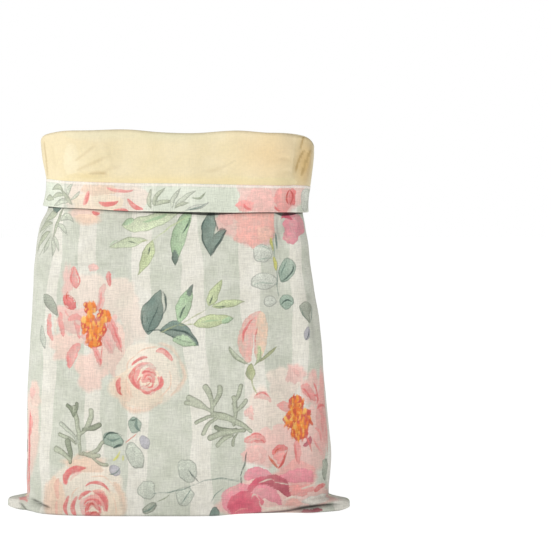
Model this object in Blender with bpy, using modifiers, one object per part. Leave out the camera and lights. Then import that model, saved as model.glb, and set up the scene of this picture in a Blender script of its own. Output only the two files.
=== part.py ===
"""Beeswax bread bag, standing on its end with the mouth turned outward as a cuff.

Metres, +Z up. The origin is on the ground under the middle of the bag, +X is to the
bag's right as seen from the front, and the front faces -Y. The tables below are in
millimetres. Two printed outer panels and two waxed lining panels meet at the side
seams and at the bottom seam. The outer cloth ends in a hem that is turned up over the
lining's layer, and shows as a band along the bottom of the cuff.
"""

import math
from collections import namedtuple

import bmesh
import bpy
import numpy as np

MM = 0.001

# Cloth
OUTER_THICK = 1.2
LINING_THICK = 1.0
PIECE_GAP = 0.3
FOLD_GAP = 1.0
HEM_GAP = 0.5
HEM_RADIUS = (OUTER_THICK + HEM_GAP) / 2.0
LINING_EASE = 0.4
BASE_EASE = 0.9
BASE_EASE_TOP = 45.0
OUTER_SEAM_EASE = 0.15
LINING_SEAM_EASE = 0.45

# Flat panel, and how the grids divide it
PANEL_WIDTH = 350.0
END_COLUMNS = (0.0, 2.5, 7.5, 14.0, 23.0, 34.0, 46.0)
MIDDLE_COLUMNS = 14
RING_SAMPLES = 900
FLOOR_STEPS = (0.0, 0.45, 0.85, 1.0)
WALL_STEPS = (
    2.2, 6.0, 9.0, 11.0, 12.6, 15.2, 20.0, 34.0, 60.0, 100.0, 145.0, 190.0, 235.0, 267.0, 281.0,
)
TURN_STEPS = 4

# Outline at each height: reach to the left, right, front and back of the middle line,
# squareness of the left and right corners, reach of each corner ear beyond its side,
# and how far in front of the middle plane the side seams lie.
Section = namedtuple(
    "Section",
    "z left right front back square_left square_right left_ear right_ear left_seam right_seam",
)
SECTIONS = (
    Section(0.0, 145.5, 145.5, 52.3, 51.0, 3.4, 2.9, 17.8, 17.4, 0.0, 10.0),
    Section(2.2, 148.8, 148.8, 56.0, 54.6, 3.4, 3.0, 20.6, 20.0, 0.0, 10.0),
    Section(6.0, 150.2, 150.4, 58.2, 57.0, 3.3, 2.9, 20.2, 19.8, 0.0, 10.0),
    Section(9.0, 150.5, 150.4, 58.5, 57.8, 3.2, 2.8, 18.8, 18.4, 0.5, 9.9),
    Section(11.0, 150.7, 150.2, 58.6, 58.0, 3.1, 2.7, 14.6, 14.2, 1.2, 9.6),
    Section(12.6, 150.9, 149.8, 58.6, 58.0, 3.0, 2.65, 7.6, 7.6, 2.6, 9.0),
    Section(15.2, 151.0, 149.6, 58.6, 58.0, 2.9, 2.6, 2.4, 2.4, 5.0, 8.0),
    Section(20.0, 151.0, 149.6, 58.6, 58.0, 2.9, 2.6, 0.6, 0.6, 8.5, 6.2),
    Section(34.0, 151.2, 151.0, 58.4, 58.0, 2.8, 2.5, 0.0, 0.0, 14.0, 1.0),
    Section(50.0, 151.2, 152.2, 58.0, 57.8, 2.7, 2.4, 0.0, 0.0, 16.0, 0.0),
    Section(88.0, 150.9, 149.2, 57.6, 57.6, 2.6, 2.4, 0.0, 0.0, 15.0, 0.0),
    Section(120.0, 150.2, 145.9, 57.4, 57.4, 2.6, 2.4, 0.0, 0.0, 12.0, 0.0),
    Section(150.0, 148.4, 143.0, 57.0, 57.0, 2.6, 2.4, 0.0, 0.0, 9.0, 0.0),
    Section(186.0, 146.1, 139.6, 56.2, 56.2, 2.6, 2.4, 0.0, 0.0, 8.0, 0.0),
    Section(218.0, 143.8, 134.6, 54.6, 54.6, 2.6, 2.4, 0.0, 0.0, 7.0, 0.0),
    Section(250.0, 141.8, 129.6, 52.8, 52.8, 2.6, 2.4, 0.0, 0.0, 6.0, 0.0),
    Section(270.0, 139.7, 127.0, 51.6, 51.6, 2.6, 2.4, 0.0, 0.0, 5.0, 0.0),
    Section(284.0, 136.6, 125.6, 50.4, 50.4, 2.6, 2.4, 0.0, 0.0, 5.0, 0.0),
    Section(296.0, 130.4, 123.6, 49.0, 49.0, 2.7, 2.5, 0.0, 0.0, 4.0, 0.0),
    Section(308.0, 127.2, 124.0, 48.0, 48.0, 2.8, 2.6, 0.0, 0.0, 4.0, 0.0),
    Section(325.0, 125.6, 127.2, 47.5, 47.5, 2.9, 2.7, 0.0, 0.0, 4.0, 0.0),
    Section(350.0, 130.4, 130.6, 48.0, 48.0, 3.0, 2.9, 0.0, 0.0, 4.0, 0.0),
    Section(380.0, 132.6, 132.0, 49.0, 49.0, 3.0, 2.9, 0.0, 0.0, 4.0, 0.0),
)
CROWN_X = -18.0
SEAM_LINE_HALF = 140.0
SEAM_LINE_BEND = 0.4

# Corner ears: where the middle of each lies, and the shape of its rounded end.
Ear = namedtuple("Ear", "y tip_flat half_depth power")
LEFT_EAR = Ear(0.0, 3.0, 13.0, 2.2)
RIGHT_EAR = Ear(-10.0, 3.0, 13.0, 2.2)

# Heights of the cuff's top fold, sewn line and mouth edge, and the cuff's flare at its
# mouth, along each panel (0 is the left seam and 1 the right).
Rim = namedtuple("Rim", "across top sewn mouth flare")
FRONT_RIM = (
    Rim(0.0, 368.0, 328.0, 301.8, 2.0),
    Rim(0.06, 371.8, 327.6, 301.6, 2.0),
    Rim(0.13, 374.9, 326.2, 300.6, 2.0),
    Rim(0.23, 375.6, 325.0, 299.3, 2.2),
    Rim(0.35, 376.3, 323.9, 297.4, 3.0),
    Rim(0.45, 373.7, 323.7, 296.9, 4.0),
    Rim(0.55, 372.8, 323.3, 296.5, 4.8),
    Rim(0.7, 375.3, 322.3, 295.9, 3.2),
    Rim(0.78, 373.5, 321.8, 296.1, 3.0),
    Rim(0.86, 372.4, 321.2, 296.0, 3.6),
    Rim(0.93, 369.5, 320.8, 295.6, 2.4),
    Rim(1.0, 363.5, 320.3, 295.3, 2.2),
)
BACK_RIM = (
    Rim(0.0, 368.0, 328.0, 301.8, 2.0),
    Rim(0.1, 373.4, 326.2, 300.0, 2.6),
    Rim(0.3, 375.6, 324.2, 297.5, 3.8),
    Rim(0.5, 373.2, 323.2, 296.6, 3.0),
    Rim(0.72, 375.0, 322.4, 296.4, 4.2),
    Rim(0.92, 371.5, 321.0, 295.8, 2.8),
    Rim(1.0, 363.5, 320.3, 295.3, 2.2),
)

# Main folds: where each runs, its half width, and how far it stands out (or in, below 0).
Fold = namedtuple("Fold", "low_x high_x low_z high_z half_width rise")
FRONT_FOLDS = (
    Fold(112.0, 118.0, 262.0, 400.0, 12.0, -6.0),
    Fold(99.0, 104.0, 205.0, 298.0, 11.0, -2.6),
    Fold(138.0, 114.0, 110.0, 300.0, 13.0, 3.0),
    Fold(122.0, 98.0, 60.0, 250.0, 16.0, -3.0),
    Fold(-122.0, -112.0, 225.0, 390.0, 12.0, -2.6),
    Fold(-134.0, -126.0, 40.0, 290.0, 12.0, 2.0),
    Fold(-92.0, -80.0, 30.0, 400.0, 36.0, 3.0),
    Fold(2.0, -2.0, 30.0, 400.0, 36.0, 3.0),
    Fold(-45.0, -42.0, 60.0, 400.0, 16.0, -1.5),
)
BACK_FOLDS = (
    Fold(84.0, 88.0, 210.0, 400.0, 18.0, -3.6),
    Fold(-84.0, -88.0, 220.0, 400.0, 16.0, -3.5),
    Fold(60.0, 52.0, 40.0, 330.0, 24.0, 2.5),
    Fold(-20.0, -34.0, 60.0, 390.0, 20.0, -3.0),
    Fold(-112.0, -84.0, 20.0, 200.0, 18.0, 2.5),
)
UPRIGHT_FROM = 268.0
UPRIGHT_OVER = 16.0
FOLD_FADE = 0.22
SEAM_FADE = 0.035

OUTER_COLOUR = (0.66, 0.69, 0.6, 1.0)
LINING_COLOUR = (0.86, 0.76, 0.5, 1.0)
OUTER_ROUGHNESS = 0.92
LINING_ROUGHNESS = 0.55


def smooth_steps(value):
    """Eased 0 to 1 ramp."""
    value = np.clip(value, 0.0, 1.0)
    return value * value * (3.0 - 2.0 * value)


def through(values, known, heights, level_ends=False):
    """Smooth curve through a table's points, with a slope at each from its neighbours."""
    known = np.asarray(known, float)
    heights = np.asarray(heights, float)
    slopes = np.gradient(heights, known)
    if level_ends:
        slopes[0] = 0.0
        slopes[-1] = 0.0
    values = np.clip(values, known[0], known[-1])
    index = np.clip(np.searchsorted(known, values) - 1, 0, len(known) - 2)
    span = known[index + 1] - known[index]
    part = (values - known[index]) / span
    start = (1.0 + 2.0 * part) * (1.0 - part) ** 2
    start_slope = part * (1.0 - part) ** 2
    end = part * part * (3.0 - 2.0 * part)
    end_slope = part * part * (part - 1.0)
    return (
        heights[index] * start
        + slopes[index] * span * start_slope
        + heights[index + 1] * end
        + slopes[index + 1] * span * end_slope
    )


def section_at(z):
    """The outline's measures at one height, from the table."""
    heights = [row.z for row in SECTIONS]
    measures = []
    for name in Section._fields:
        measures.append(float(through(z, heights, [getattr(row, name) for row in SECTIONS])))
    return Section(*measures)


def half_outline(section, depth_sign):
    """One half of a closed outline, from the left side to the right."""
    angle = np.linspace(math.pi, 0.0, RING_SAMPLES)
    leftward = np.cos(angle) < 0.0
    power = 2.0 / np.where(leftward, section.square_left, section.square_right)
    reach = np.where(leftward, section.left + CROWN_X, section.right - CROWN_X)
    x = CROWN_X + reach * np.sign(np.cos(angle)) * np.abs(np.cos(angle)) ** power
    depth = section.front if depth_sign < 0.0 else section.back
    y = depth_sign * depth * np.abs(np.sin(angle)) ** power
    for ear, tip_x, reach, side in (
        (LEFT_EAR, -section.left - section.left_ear, section.left_ear, leftward),
        (RIGHT_EAR, section.right + section.right_ear, section.right_ear, ~leftward),
    ):
        from_tip = np.maximum(np.abs(y - ear.y) - ear.tip_flat, 0.0)
        lobe = np.exp(-((from_tip / ear.half_depth) ** ear.power)) * smooth_steps(reach / 6.0)
        x = x + np.where(side, (tip_x - x) * lobe, 0.0)
    return x, y


def outline(section, side, fractions):
    """Points at given fractions of the way across one panel, left seam to right seam."""
    front_x, front_y = half_outline(section, -1.0)
    back_x, back_y = half_outline(section, 1.0)
    x = np.concatenate([front_x, back_x[::-1][1:]])
    y = np.concatenate([front_y, back_y[::-1][1:]])
    travel = np.concatenate([[0.0], np.cumsum(np.hypot(np.diff(x), np.diff(y)))])
    half = RING_SAMPLES // 2
    left = np.interp(section.left_seam, -front_y[:half], travel[:half])
    right_part = slice(RING_SAMPLES - 1, half, -1)
    right = np.interp(section.right_seam, -front_y[right_part], travel[right_part])
    margin = PIECE_GAP / 2.0
    if side == "front":
        wanted = left + margin + fractions * (right - left - 2.0 * margin)
    else:
        wanted = left - margin - fractions * (travel[-1] - right + left - 2.0 * margin)
    wanted = wanted % travel[-1]
    return np.interp(wanted, travel, x), np.interp(wanted, travel, y)


def fold_rise(side, x, z, fractions):
    """How far the main folds push the wall out, at each point of it."""
    rise = np.zeros_like(x)
    for fold in FRONT_FOLDS if side == "front" else BACK_FOLDS:
        along = (z - fold.low_z) / (fold.high_z - fold.low_z)
        centre = fold.low_x + (fold.high_x - fold.low_x) * along
        ends = smooth_steps(along / FOLD_FADE) * smooth_steps((1.0 - along) / FOLD_FADE)
        rise += fold.rise * ends * np.exp(-(((x - centre) / fold.half_width) ** 2))
    nearest = np.minimum(fractions, 1.0 - fractions)
    return rise * smooth_steps(nearest / SEAM_FADE)


def surface_normals(points):
    """Unit normals of a grid of points, away from the bag's inside."""
    along = np.gradient(points, axis=0)
    across = np.gradient(points, axis=1)
    normals = np.cross(across, along)
    return normals / np.linalg.norm(normals, axis=2, keepdims=True)


class Skin:
    """Outer face of one panel from the bottom seam upward, finely sampled.

    Its rows are numbered by a level: 0 to 1 on the ground, from the bottom seam to the
    edge of the base, and above that 1 plus the height in millimetres.
    """

    def __init__(self, side):
        self.side = side
        self.columns = 420
        floor_levels = np.linspace(0.0, 1.0, 21)
        low_levels = 1.0 + np.arange(0.5, 40.0, 0.5)
        high_levels = 1.0 + np.arange(40.0, 379.0, 2.0)
        self.levels = np.concatenate([floor_levels, low_levels, high_levels])
        rows = []
        # One column more at each end, past the seams, gives both panels the same normals there.
        fractions = np.arange(-1, self.columns + 2) / self.columns
        edge_x, edge_y = outline(section_at(0.0), side, fractions)
        seam_x = SEAM_LINE_HALF * (2.0 * fractions - 1.0)
        toward = -1.0 if side == "front" else 1.0
        bend = smooth_steps((fractions - 1.0 + SEAM_LINE_BEND) / SEAM_LINE_BEND)
        seam_y = RIGHT_EAR.y * bend + toward * PIECE_GAP / 2.0
        for level in self.levels:
            if level <= 1.0:
                x = seam_x + (edge_x - seam_x) * level
                y = seam_y + (edge_y - seam_y) * level
                z = 0.0
            else:
                z = level - 1.0
                x, y = outline(section_at(z), side, fractions)
            rows.append(np.stack([x, y, np.full_like(x, z)], axis=1))
        plain = np.array(rows)
        normals = surface_normals(plain) * -toward
        across = fractions[None, :] * np.ones((len(rows), 1))
        rise = fold_rise(side, plain[..., 0], plain[..., 2], across)
        folded = plain + normals * rise[..., None]
        normals = surface_normals(folded)[:, 1:-1] * -toward
        self.points = folded[:, 1:-1]
        upright = smooth_steps((self.points[..., 2] - UPRIGHT_FROM) / UPRIGHT_OVER)
        normals[..., 2] *= 1.0 - upright
        normals[self.levels <= 1.0] = (0.0, 0.0, -1.0)
        self.normals = normals / np.linalg.norm(normals, axis=2, keepdims=True)

    def at(self, level, fractions, out):
        """Points that lie a distance outside the skin, at one level per fraction."""
        level = np.broadcast_to(level, fractions.shape)
        row = np.interp(level, self.levels, np.arange(len(self.levels)))
        column = fractions * self.columns
        low = np.clip(row.astype(int), 0, len(self.levels) - 2)
        left = np.clip(column.astype(int), 0, self.columns - 1)
        up = (row - low)[:, None]
        right = (column - left)[:, None]

        def mixed(grid):
            below = grid[low, left] * (1.0 - right) + grid[low, left + 1] * right
            above = grid[low + 1, left] * (1.0 - right) + grid[low + 1, left + 1] * right
            return below * (1.0 - up) + above * up

        normal = mixed(self.normals)
        normal = normal / np.linalg.norm(normal, axis=1, keepdims=True)
        return mixed(self.points) + normal * np.broadcast_to(out, fractions.shape)[:, None]

    def rim(self, name, fractions):
        """A rim measure from the table, at each fraction of the way across."""
        table = FRONT_RIM if self.side == "front" else BACK_RIM
        known = [row.across for row in table]
        heights = [getattr(row, name) for row in table]
        return through(fractions, known, heights, level_ends=True)


def column_fractions():
    """Where the grid's columns stand across a panel: closer near the seams."""
    left = np.array(END_COLUMNS) / PANEL_WIDTH
    middle = np.linspace(left[-1], 1.0 - left[-1], MIDDLE_COLUMNS + 1)[1:-1]
    return np.concatenate([left, middle, 1.0 - left[::-1]])


def cuff_gap(skin, fractions, z):
    """Space between the two printed layers in the cuff, at a height."""
    top = skin.rim("top", fractions)
    mouth = skin.rim("mouth", fractions)
    fall = np.clip((top - z) / (top - mouth), 0.0, 1.0)
    return FOLD_GAP + skin.rim("flare", fractions) * fall**1.5


def cuff_heights(skin, fractions):
    """Heights that all layers of the cuff share, from the mouth's turn up to the fold."""
    stack = OUTER_THICK + PIECE_GAP + LINING_THICK
    fold_centre = skin.rim("top", fractions) - FOLD_GAP / 2.0 - stack - LINING_EASE
    turn_centre = skin.rim("mouth", fractions) + HEM_RADIUS + OUTER_THICK / 2.0
    sewn = skin.rim("sewn", fractions)
    heights = [turn_centre, (turn_centre + sewn) / 2.0, sewn, (sewn + fold_centre) / 2.0]
    return heights + [fold_centre]


def rising_rows(skin, fractions, out, heights, base_ease, seam_ease):
    """Rows of a layer from the bottom seam up to where the cuff's fold begins.

    Near the ground, where the ears turn tightly, the layer stands a little further
    inside the skin and its ends a little further from the seams.
    """
    rows = []
    for step in FLOOR_STEPS:
        inset = seam_ease / PANEL_WIDTH
        rows.append(skin.at(step, inset + fractions * (1.0 - 2.0 * inset), out - base_ease))
    for height in WALL_STEPS:
        share = smooth_steps(1.0 - height / BASE_EASE_TOP)
        inset = seam_ease * share / PANEL_WIDTH
        eased = inset + fractions * (1.0 - 2.0 * inset)
        rows.append(skin.at(1.0 + height, eased, out - base_ease * share))
    for height in heights:
        rows.append(skin.at(1.0 + height, fractions, out))
    return rows


def turn_rows(skin, fractions, centre_out, centre_z, radius, rise):
    """Rows of a half turn from an inner layer to an outer one, its two ends left off."""
    rows = []
    for step in range(1, TURN_STEPS):
        angle = math.pi * step / TURN_STEPS
        out = centre_out - radius * math.cos(angle)
        points = skin.at(1.0 + centre_z, fractions, out)
        points[:, 2] += rise * math.sin(angle)
        rows.append(points)
    return rows


def falling_rows(skin, fractions, out, heights):
    """Rows of a layer of the cuff, a distance outside the cuff's inner gap."""
    rows = []
    for height in heights:
        points = skin.at(1.0 + height, fractions, cuff_gap(skin, fractions, height) + out)
        rows.append(points)
    return rows


def outer_rows(skin, fractions):
    """Middle surface of a printed panel: up the wall, down the cuff and up its hem."""
    half = OUTER_THICK / 2.0
    heights = cuff_heights(skin, fractions)
    turn_centre = heights[0]
    middle = FOLD_GAP / 2.0
    rows = rising_rows(skin, fractions, -half, heights, 0.0, OUTER_SEAM_EASE)
    rows += turn_rows(skin, fractions, middle, heights[-1], middle + half, middle + half)
    rows += falling_rows(skin, fractions, half, heights[::-1])
    hem_middle = cuff_gap(skin, fractions, turn_centre) + half + HEM_RADIUS
    rows += turn_rows(skin, fractions, hem_middle, turn_centre, HEM_RADIUS, -HEM_RADIUS)
    hem_heights = [heights[0], heights[1], heights[2] - PIECE_GAP / 2.0]
    rows += falling_rows(skin, fractions, half + 2.0 * HEM_RADIUS, hem_heights)
    return rows


def lining_rows(skin, fractions):
    """Middle surface of a lining panel: up inside the wall and down the cuff's outside."""
    inside = OUTER_THICK + PIECE_GAP + LINING_THICK / 2.0
    heights = cuff_heights(skin, fractions)
    middle = FOLD_GAP / 2.0
    radius = middle + inside
    rows = rising_rows(skin, fractions, -inside, heights, BASE_EASE, LINING_SEAM_EASE)
    rows += turn_rows(skin, fractions, middle, heights[-1], radius, radius + LINING_EASE)
    sewn_edge = heights[2] + PIECE_GAP / 2.0
    rows += falling_rows(skin, fractions, inside, [heights[4], heights[3], sewn_edge])
    return rows


def make_material(name, colour, roughness):
    """Plain cloth finish."""
    material = bpy.data.materials.new(name)
    material.use_nodes = True
    shader = material.node_tree.nodes["Principled BSDF"]
    shader.inputs["Base Color"].default_value = colour
    shader.inputs["Roughness"].default_value = roughness
    shader.inputs["Metallic"].default_value = 0.0
    return material


def make_panel(name, rows, thickness, material, collection):
    """A sheet through a grid of points, thickened evenly to both sides."""
    rows = np.array(rows)
    last_row = rows.shape[0] - 1
    last_column = rows.shape[1] - 1
    bm = bmesh.new()
    bmesh.ops.create_grid(bm, x_segments=last_column, y_segments=last_row, size=0.5)
    left = [face for face in bm.faces if face.calc_center_median().x < 0.0]
    right = [face for face in bm.faces if face.calc_center_median().x >= 0.0]
    bmesh.ops.triangulate(bm, faces=left, quad_method="FIXED")
    bmesh.ops.triangulate(bm, faces=right, quad_method="ALTERNATE")
    for vertex in bm.verts:
        column = round((vertex.co.x + 0.5) * last_column)
        row = round((vertex.co.y + 0.5) * last_row)
        vertex.co = rows[row, column] * MM
    mesh = bpy.data.meshes.new(name)
    bm.to_mesh(mesh)
    bm.free()
    mesh.materials.append(material)
    mesh.shade_smooth()
    panel = bpy.data.objects.new(name, mesh)
    collection.objects.link(panel)
    shell = panel.modifiers.new("cloth thickness", "SOLIDIFY")
    shell.thickness = thickness * MM
    shell.offset = 0.0
    shell.use_even_offset = True
    return panel


def main():
    """Build the four panels."""
    for old in list(bpy.data.objects):
        bpy.data.objects.remove(old, do_unlink=True)
    collection = bpy.data.collections.new("beeswax_bread_bag")
    bpy.context.scene.collection.children.link(collection)
    printed = make_material("printed_cotton_linen", OUTER_COLOUR, OUTER_ROUGHNESS)
    waxed = make_material("waxed_lining", LINING_COLOUR, LINING_ROUGHNESS)
    fractions = column_fractions()
    for side in ("front", "back"):
        skin = Skin(side)
        make_panel(
            "outer_" + side, outer_rows(skin, fractions), OUTER_THICK, printed, collection
        )
        make_panel(
            "lining_" + side, lining_rows(skin, fractions), LINING_THICK, waxed, collection
        )


main()
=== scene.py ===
"""Looks of the beeswax bread bag.

Each cloth panel is one thin sheet on the folds of its solid, with finer creases, a seam
line at its edges and a turned hem. The print is painted point by point onto the outer
panels from small tables of motifs, and the weave, pigment grain and wax are node
materials. Shapes are in millimetres unless a name says otherwise.
"""

import math
from collections import namedtuple

import bpy
import numpy as np
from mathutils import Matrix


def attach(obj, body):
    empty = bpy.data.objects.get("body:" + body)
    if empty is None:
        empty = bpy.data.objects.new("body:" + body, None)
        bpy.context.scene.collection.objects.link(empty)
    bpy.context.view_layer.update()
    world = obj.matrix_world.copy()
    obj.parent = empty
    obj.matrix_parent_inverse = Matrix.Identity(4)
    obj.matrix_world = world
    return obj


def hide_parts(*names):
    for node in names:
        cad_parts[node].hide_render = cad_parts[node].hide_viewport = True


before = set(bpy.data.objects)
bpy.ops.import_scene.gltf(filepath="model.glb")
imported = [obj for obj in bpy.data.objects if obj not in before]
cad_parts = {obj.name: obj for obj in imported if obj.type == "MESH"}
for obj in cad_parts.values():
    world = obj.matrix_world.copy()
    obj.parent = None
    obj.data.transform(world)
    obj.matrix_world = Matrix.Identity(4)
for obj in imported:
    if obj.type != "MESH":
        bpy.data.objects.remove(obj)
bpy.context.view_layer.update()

MM = 0.001
MM_PER_METRE = 1000.0


def table(kind, *rows):
    """A table of one kind, from the measures in each row."""
    return [kind(*row) for row in rows]


# Cloth
OUTER_THICK = 1.2
LINING_THICK = 1.0
PIECE_GAP = 0.3
FOLD_GAP = 1.0
HEM_GAP = 0.5
HEM_RADIUS = (OUTER_THICK + HEM_GAP) / 2.0
LINING_EASE = 0.4
BASE_EASE = 0.9
BASE_EASE_TOP = 45.0
PANEL_WIDTH = 350.0
SEAM_GROOVE = 0.8
SEAM_GROOVE_HALF = 0.9
LINING_TUCK = 3.0
LINING_TUCK_IN = 0.5
STACK = OUTER_THICK + PIECE_GAP + LINING_THICK
FLARE_POWER = 1.5

# How finely each outline, the skin and each sheet are divided
RING_SAMPLES = 900
SKIN_COLUMNS = 420
SKIN_FLOOR_ROWS = 21
SKIN_LOW_STEP = 0.5
SKIN_LOW_TOP = 40.0
SKIN_HIGH_STEP = 1.25
SKIN_TOP = 379.0
FLOOR_ROWS = 9
SEAM_COLUMNS = (0.0, 0.45, 0.9, 1.5, 2.3)
SEAM_LAP = 0.05
OUTER_COLUMNS = 272
LINING_COLUMNS = 230
WALL_STEP = 1.15
WALL_STEP_LOW = 0.6
WALL_LOW_TOP = 20.0
HIDDEN_FROM = 303.0
OUTER_HIDDEN_ROWS = 6
OUTER_FOLD_ROWS = 4
HEM_ROWS = 8
BAND_ROWS = 25
LINING_STEP = 4.0
LINING_HIDDEN_FROM = 330.0
LINING_HIDDEN_ROWS = 10
LINING_FOLD_ROWS = 12
CUFF_ROWS = 44
TUCK_ROWS = 3

# Places down the cloth: half of the base's depth, and the cuff's top fold in each layer
BASE_HALF = 54.0
OUTER_FOLD_PLACE = 380.0
LINING_FOLD_PLACE = 376.0
# The band's top edge above the sewn line, then how far it rises, runs and turns in
BAND_EDGE = 0.3
BAND_TURN = ((0.7, 0.7, 0.35), (0.7, 1.2, 1.1))

# Outline at each height: reach to the left, right, front and back of the middle line,
# squareness of the left and right corners, reach of each corner ear beyond its side,
# and how far in front of the middle plane the side seams lie.
Section = namedtuple(
    "Section",
    "z left right front back square_left square_right left_ear right_ear left_seam right_seam",
)
SECTIONS = table(
    Section,
    (0, 145.5, 145.5, 52.3, 51, 3.4, 2.9, 17.8, 17.4, 0, 10),
    (2.2, 148.8, 148.8, 56, 54.6, 3.4, 3, 20.6, 20, 0, 10),
    (6, 150.2, 150.4, 58.2, 57, 3.3, 2.9, 20.4, 19.9, 0, 10),
    (9, 150.5, 150.4, 58.5, 57.8, 3.2, 2.8, 20, 19.4, 0.5, 9.9),
    (10.6, 150.7, 150.2, 58.6, 58, 3.1, 2.7, 18.2, 17.4, 1.1, 9.7),
    (11.8, 150.8, 150, 58.6, 58, 3, 2.65, 12, 11.4, 1.9, 9.3),
    (12.8, 150.9, 149.8, 58.6, 58, 3, 2.65, 4.6, 4.4, 2.8, 9),
    (14, 151, 149.7, 58.6, 58, 2.9, 2.6, 1.4, 1.4, 4, 8.5),
    (16, 151, 149.6, 58.6, 58, 2.9, 2.6, 0.5, 0.5, 5.6, 7.6),
    (20, 151, 149.6, 58.6, 58, 2.9, 2.6, 0.2, 0.2, 8.5, 6.2),
    (34, 151.2, 151, 58.4, 58, 2.8, 2.5, 0, 0, 14, 1),
    (50, 151.2, 152.2, 58, 57.8, 2.7, 2.4, 0, 0, 16, 0),
    (88, 150.9, 149.2, 57.6, 57.6, 2.6, 2.4, 0, 0, 15, 0),
    (120, 150.2, 145.9, 57.4, 57.4, 2.6, 2.4, 0, 0, 12, 0),
    (150, 148.4, 143, 57, 57, 2.6, 2.4, 0, 0, 9, 0),
    (186, 146.1, 139.6, 56.2, 56.2, 2.6, 2.4, 0, 0, 8, 0),
    (218, 143.8, 134.6, 54.6, 54.6, 2.6, 2.4, 0, 0, 7, 0),
    (250, 141.8, 129.6, 52.8, 52.8, 2.6, 2.4, 0, 0, 6, 0),
    (270, 139.7, 127, 51.6, 51.6, 2.6, 2.4, 0, 0, 5, 0),
    (284, 136.6, 125.6, 50.4, 50.4, 2.6, 2.4, 0, 0, 5, 0),
    (296, 130.4, 123.6, 49, 49, 2.7, 2.5, 0, 0, 4, 0),
    (308, 127.2, 124, 48, 48, 2.8, 2.6, 0, 0, 4, 0),
    (325, 125.6, 127.2, 47.5, 47.5, 2.9, 2.7, 0, 0, 4, 0),
    (350, 130.4, 130.6, 48, 48, 3, 2.9, 0, 0, 4, 0),
    (380, 132.6, 132, 49, 49, 3, 2.9, 0, 0, 4, 0),
)
CROWN_X = -18.0
SEAM_LINE_HALF = 140.0
SEAM_LINE_BEND = 0.4

# Corner ears: where the middle of each lies, and the shape of its rounded end. An ear
# that reaches less than EAR_BLEND blends into the wall.
Ear = namedtuple("Ear", "y tip_flat half_depth power")
LEFT_EAR = Ear(0.0, 3.0, 13.0, 2.2)
RIGHT_EAR = Ear(-10.0, 3.0, 13.0, 2.2)
EAR_BLEND = 6.0

# Heights of the cuff's top fold, sewn line and mouth edge, and the cuff's flare at its
# mouth, along each panel (0 is the left seam and 1 the right).
Rim = namedtuple("Rim", "across top sewn mouth flare")
FRONT_RIM = table(
    Rim,
    (0, 368, 328, 301.8, 2),
    (0.06, 371.8, 327.6, 301.6, 2),
    (0.13, 374.9, 326.2, 300.6, 2),
    (0.23, 375.6, 325, 299.3, 2.2),
    (0.35, 376.3, 323.9, 297.4, 3),
    (0.45, 373.7, 323.7, 296.9, 4),
    (0.55, 372.8, 323.3, 296.5, 4.8),
    (0.7, 375.3, 322.3, 295.9, 3.2),
    (0.78, 373.5, 321.8, 296.1, 3),
    (0.86, 372.4, 321.2, 296, 3.6),
    (0.93, 369.5, 320.8, 295.6, 2.4),
    (1, 363.5, 320.3, 295.3, 2.2),
)
BACK_RIM = table(
    Rim,
    (0, 368, 328, 301.8, 2),
    (0.1, 373.4, 326.2, 300, 2.6),
    (0.3, 375.6, 324.2, 297.5, 3.8),
    (0.5, 373.2, 323.2, 296.6, 3),
    (0.72, 375, 322.4, 296.4, 4.2),
    (0.92, 371.5, 321, 295.8, 2.8),
    (1, 363.5, 320.3, 295.3, 2.2),
)

# Main folds: where each runs, its half width, and how far it stands out (or in, below 0).
Fold = namedtuple("Fold", "low_x high_x low_z high_z half_width rise")
FRONT_FOLDS = table(
    Fold,
    (112, 118, 262, 400, 12, -6),
    (99, 104, 205, 298, 11, -2.6),
    (138, 114, 110, 300, 13, 3),
    (122, 98, 60, 250, 16, -3),
    (-122, -112, 225, 390, 12, -2.6),
    (-134, -126, 40, 290, 12, 2),
    (-92, -80, 30, 400, 36, 3),
    (2, -2, 30, 400, 36, 3),
    (-45, -42, 60, 400, 16, -1.5),
)
BACK_FOLDS = table(
    Fold,
    (84, 88, 210, 400, 18, -3.6),
    (-84, -88, 220, 400, 16, -3.5),
    (60, 52, 40, 330, 24, 2.5),
    (-20, -34, 60, 390, 20, -3),
    (-112, -84, 20, 200, 18, 2.5),
)
UPRIGHT_FROM = 268.0
UPRIGHT_OVER = 16.0
FOLD_FADE = 0.22
SEAM_FADE = 0.035
FINE_SEAM_FADE = 0.02
CREASE_FADE = 0.3
CREASE_STEPS = 14

# Soft creases: three points that each bends through, its half width and its rise.
Crease = namedtuple("Crease", "x0 z0 x1 z1 x2 z2 half_width rise")
FRONT_CREASES = table(
    Crease,
    (100, 300, 97, 285, 104, 262, 3, -1.1),
    (105, 298, 103, 284, 111, 255, 3.2, 0.9),
    (-112, 247, -80, 246, -44, 248, 1.8, -0.5),
    (-118, 130, -60, 126, 20, 131, 2.6, -0.35),
    (-158, 8, -154, 4.5, -149, 0, 1.8, -2),
    (-147, 15.5, -133, 10, -121, 6.5, 2, -2.6),
    (-150, 8, -138, 4.5, -126, 1, 2.6, 1.2),
    (108, 5.5, 136, 7.4, 166, 6, 2, -3.2),
    (118, 2, 138, 3, 160, 3, 2, 1.2),
    (124, 14, 140, 12, 156, 10.5, 2.6, 1),
    (128, 60, 118, 100, 126, 140, 4, -0.9),
    (-140, 60, -136, 120, -138, 200, 4, -0.8),
    (60, 12, 30, 22, -10, 14, 5, -0.7),
    (-80, 10, -50, 18, -20, 9, 5, -0.6),
)
BACK_CREASES = table(
    Crease,
    (80, 300, 76, 270, 86, 236, 3.4, -1),
    (-104, 249, -20, 246, 96, 250, 1.8, -0.45),
    (-92, 130, 0, 127, 110, 131, 2.4, -0.4),
    (-146, 16, -138, 9, -126, 4, 3.2, -1.5),
    (147, 17, 136, 10, 120, 6, 3.2, -1.6),
    (40, 14, 10, 24, -40, 13, 5, -0.7),
)
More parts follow.
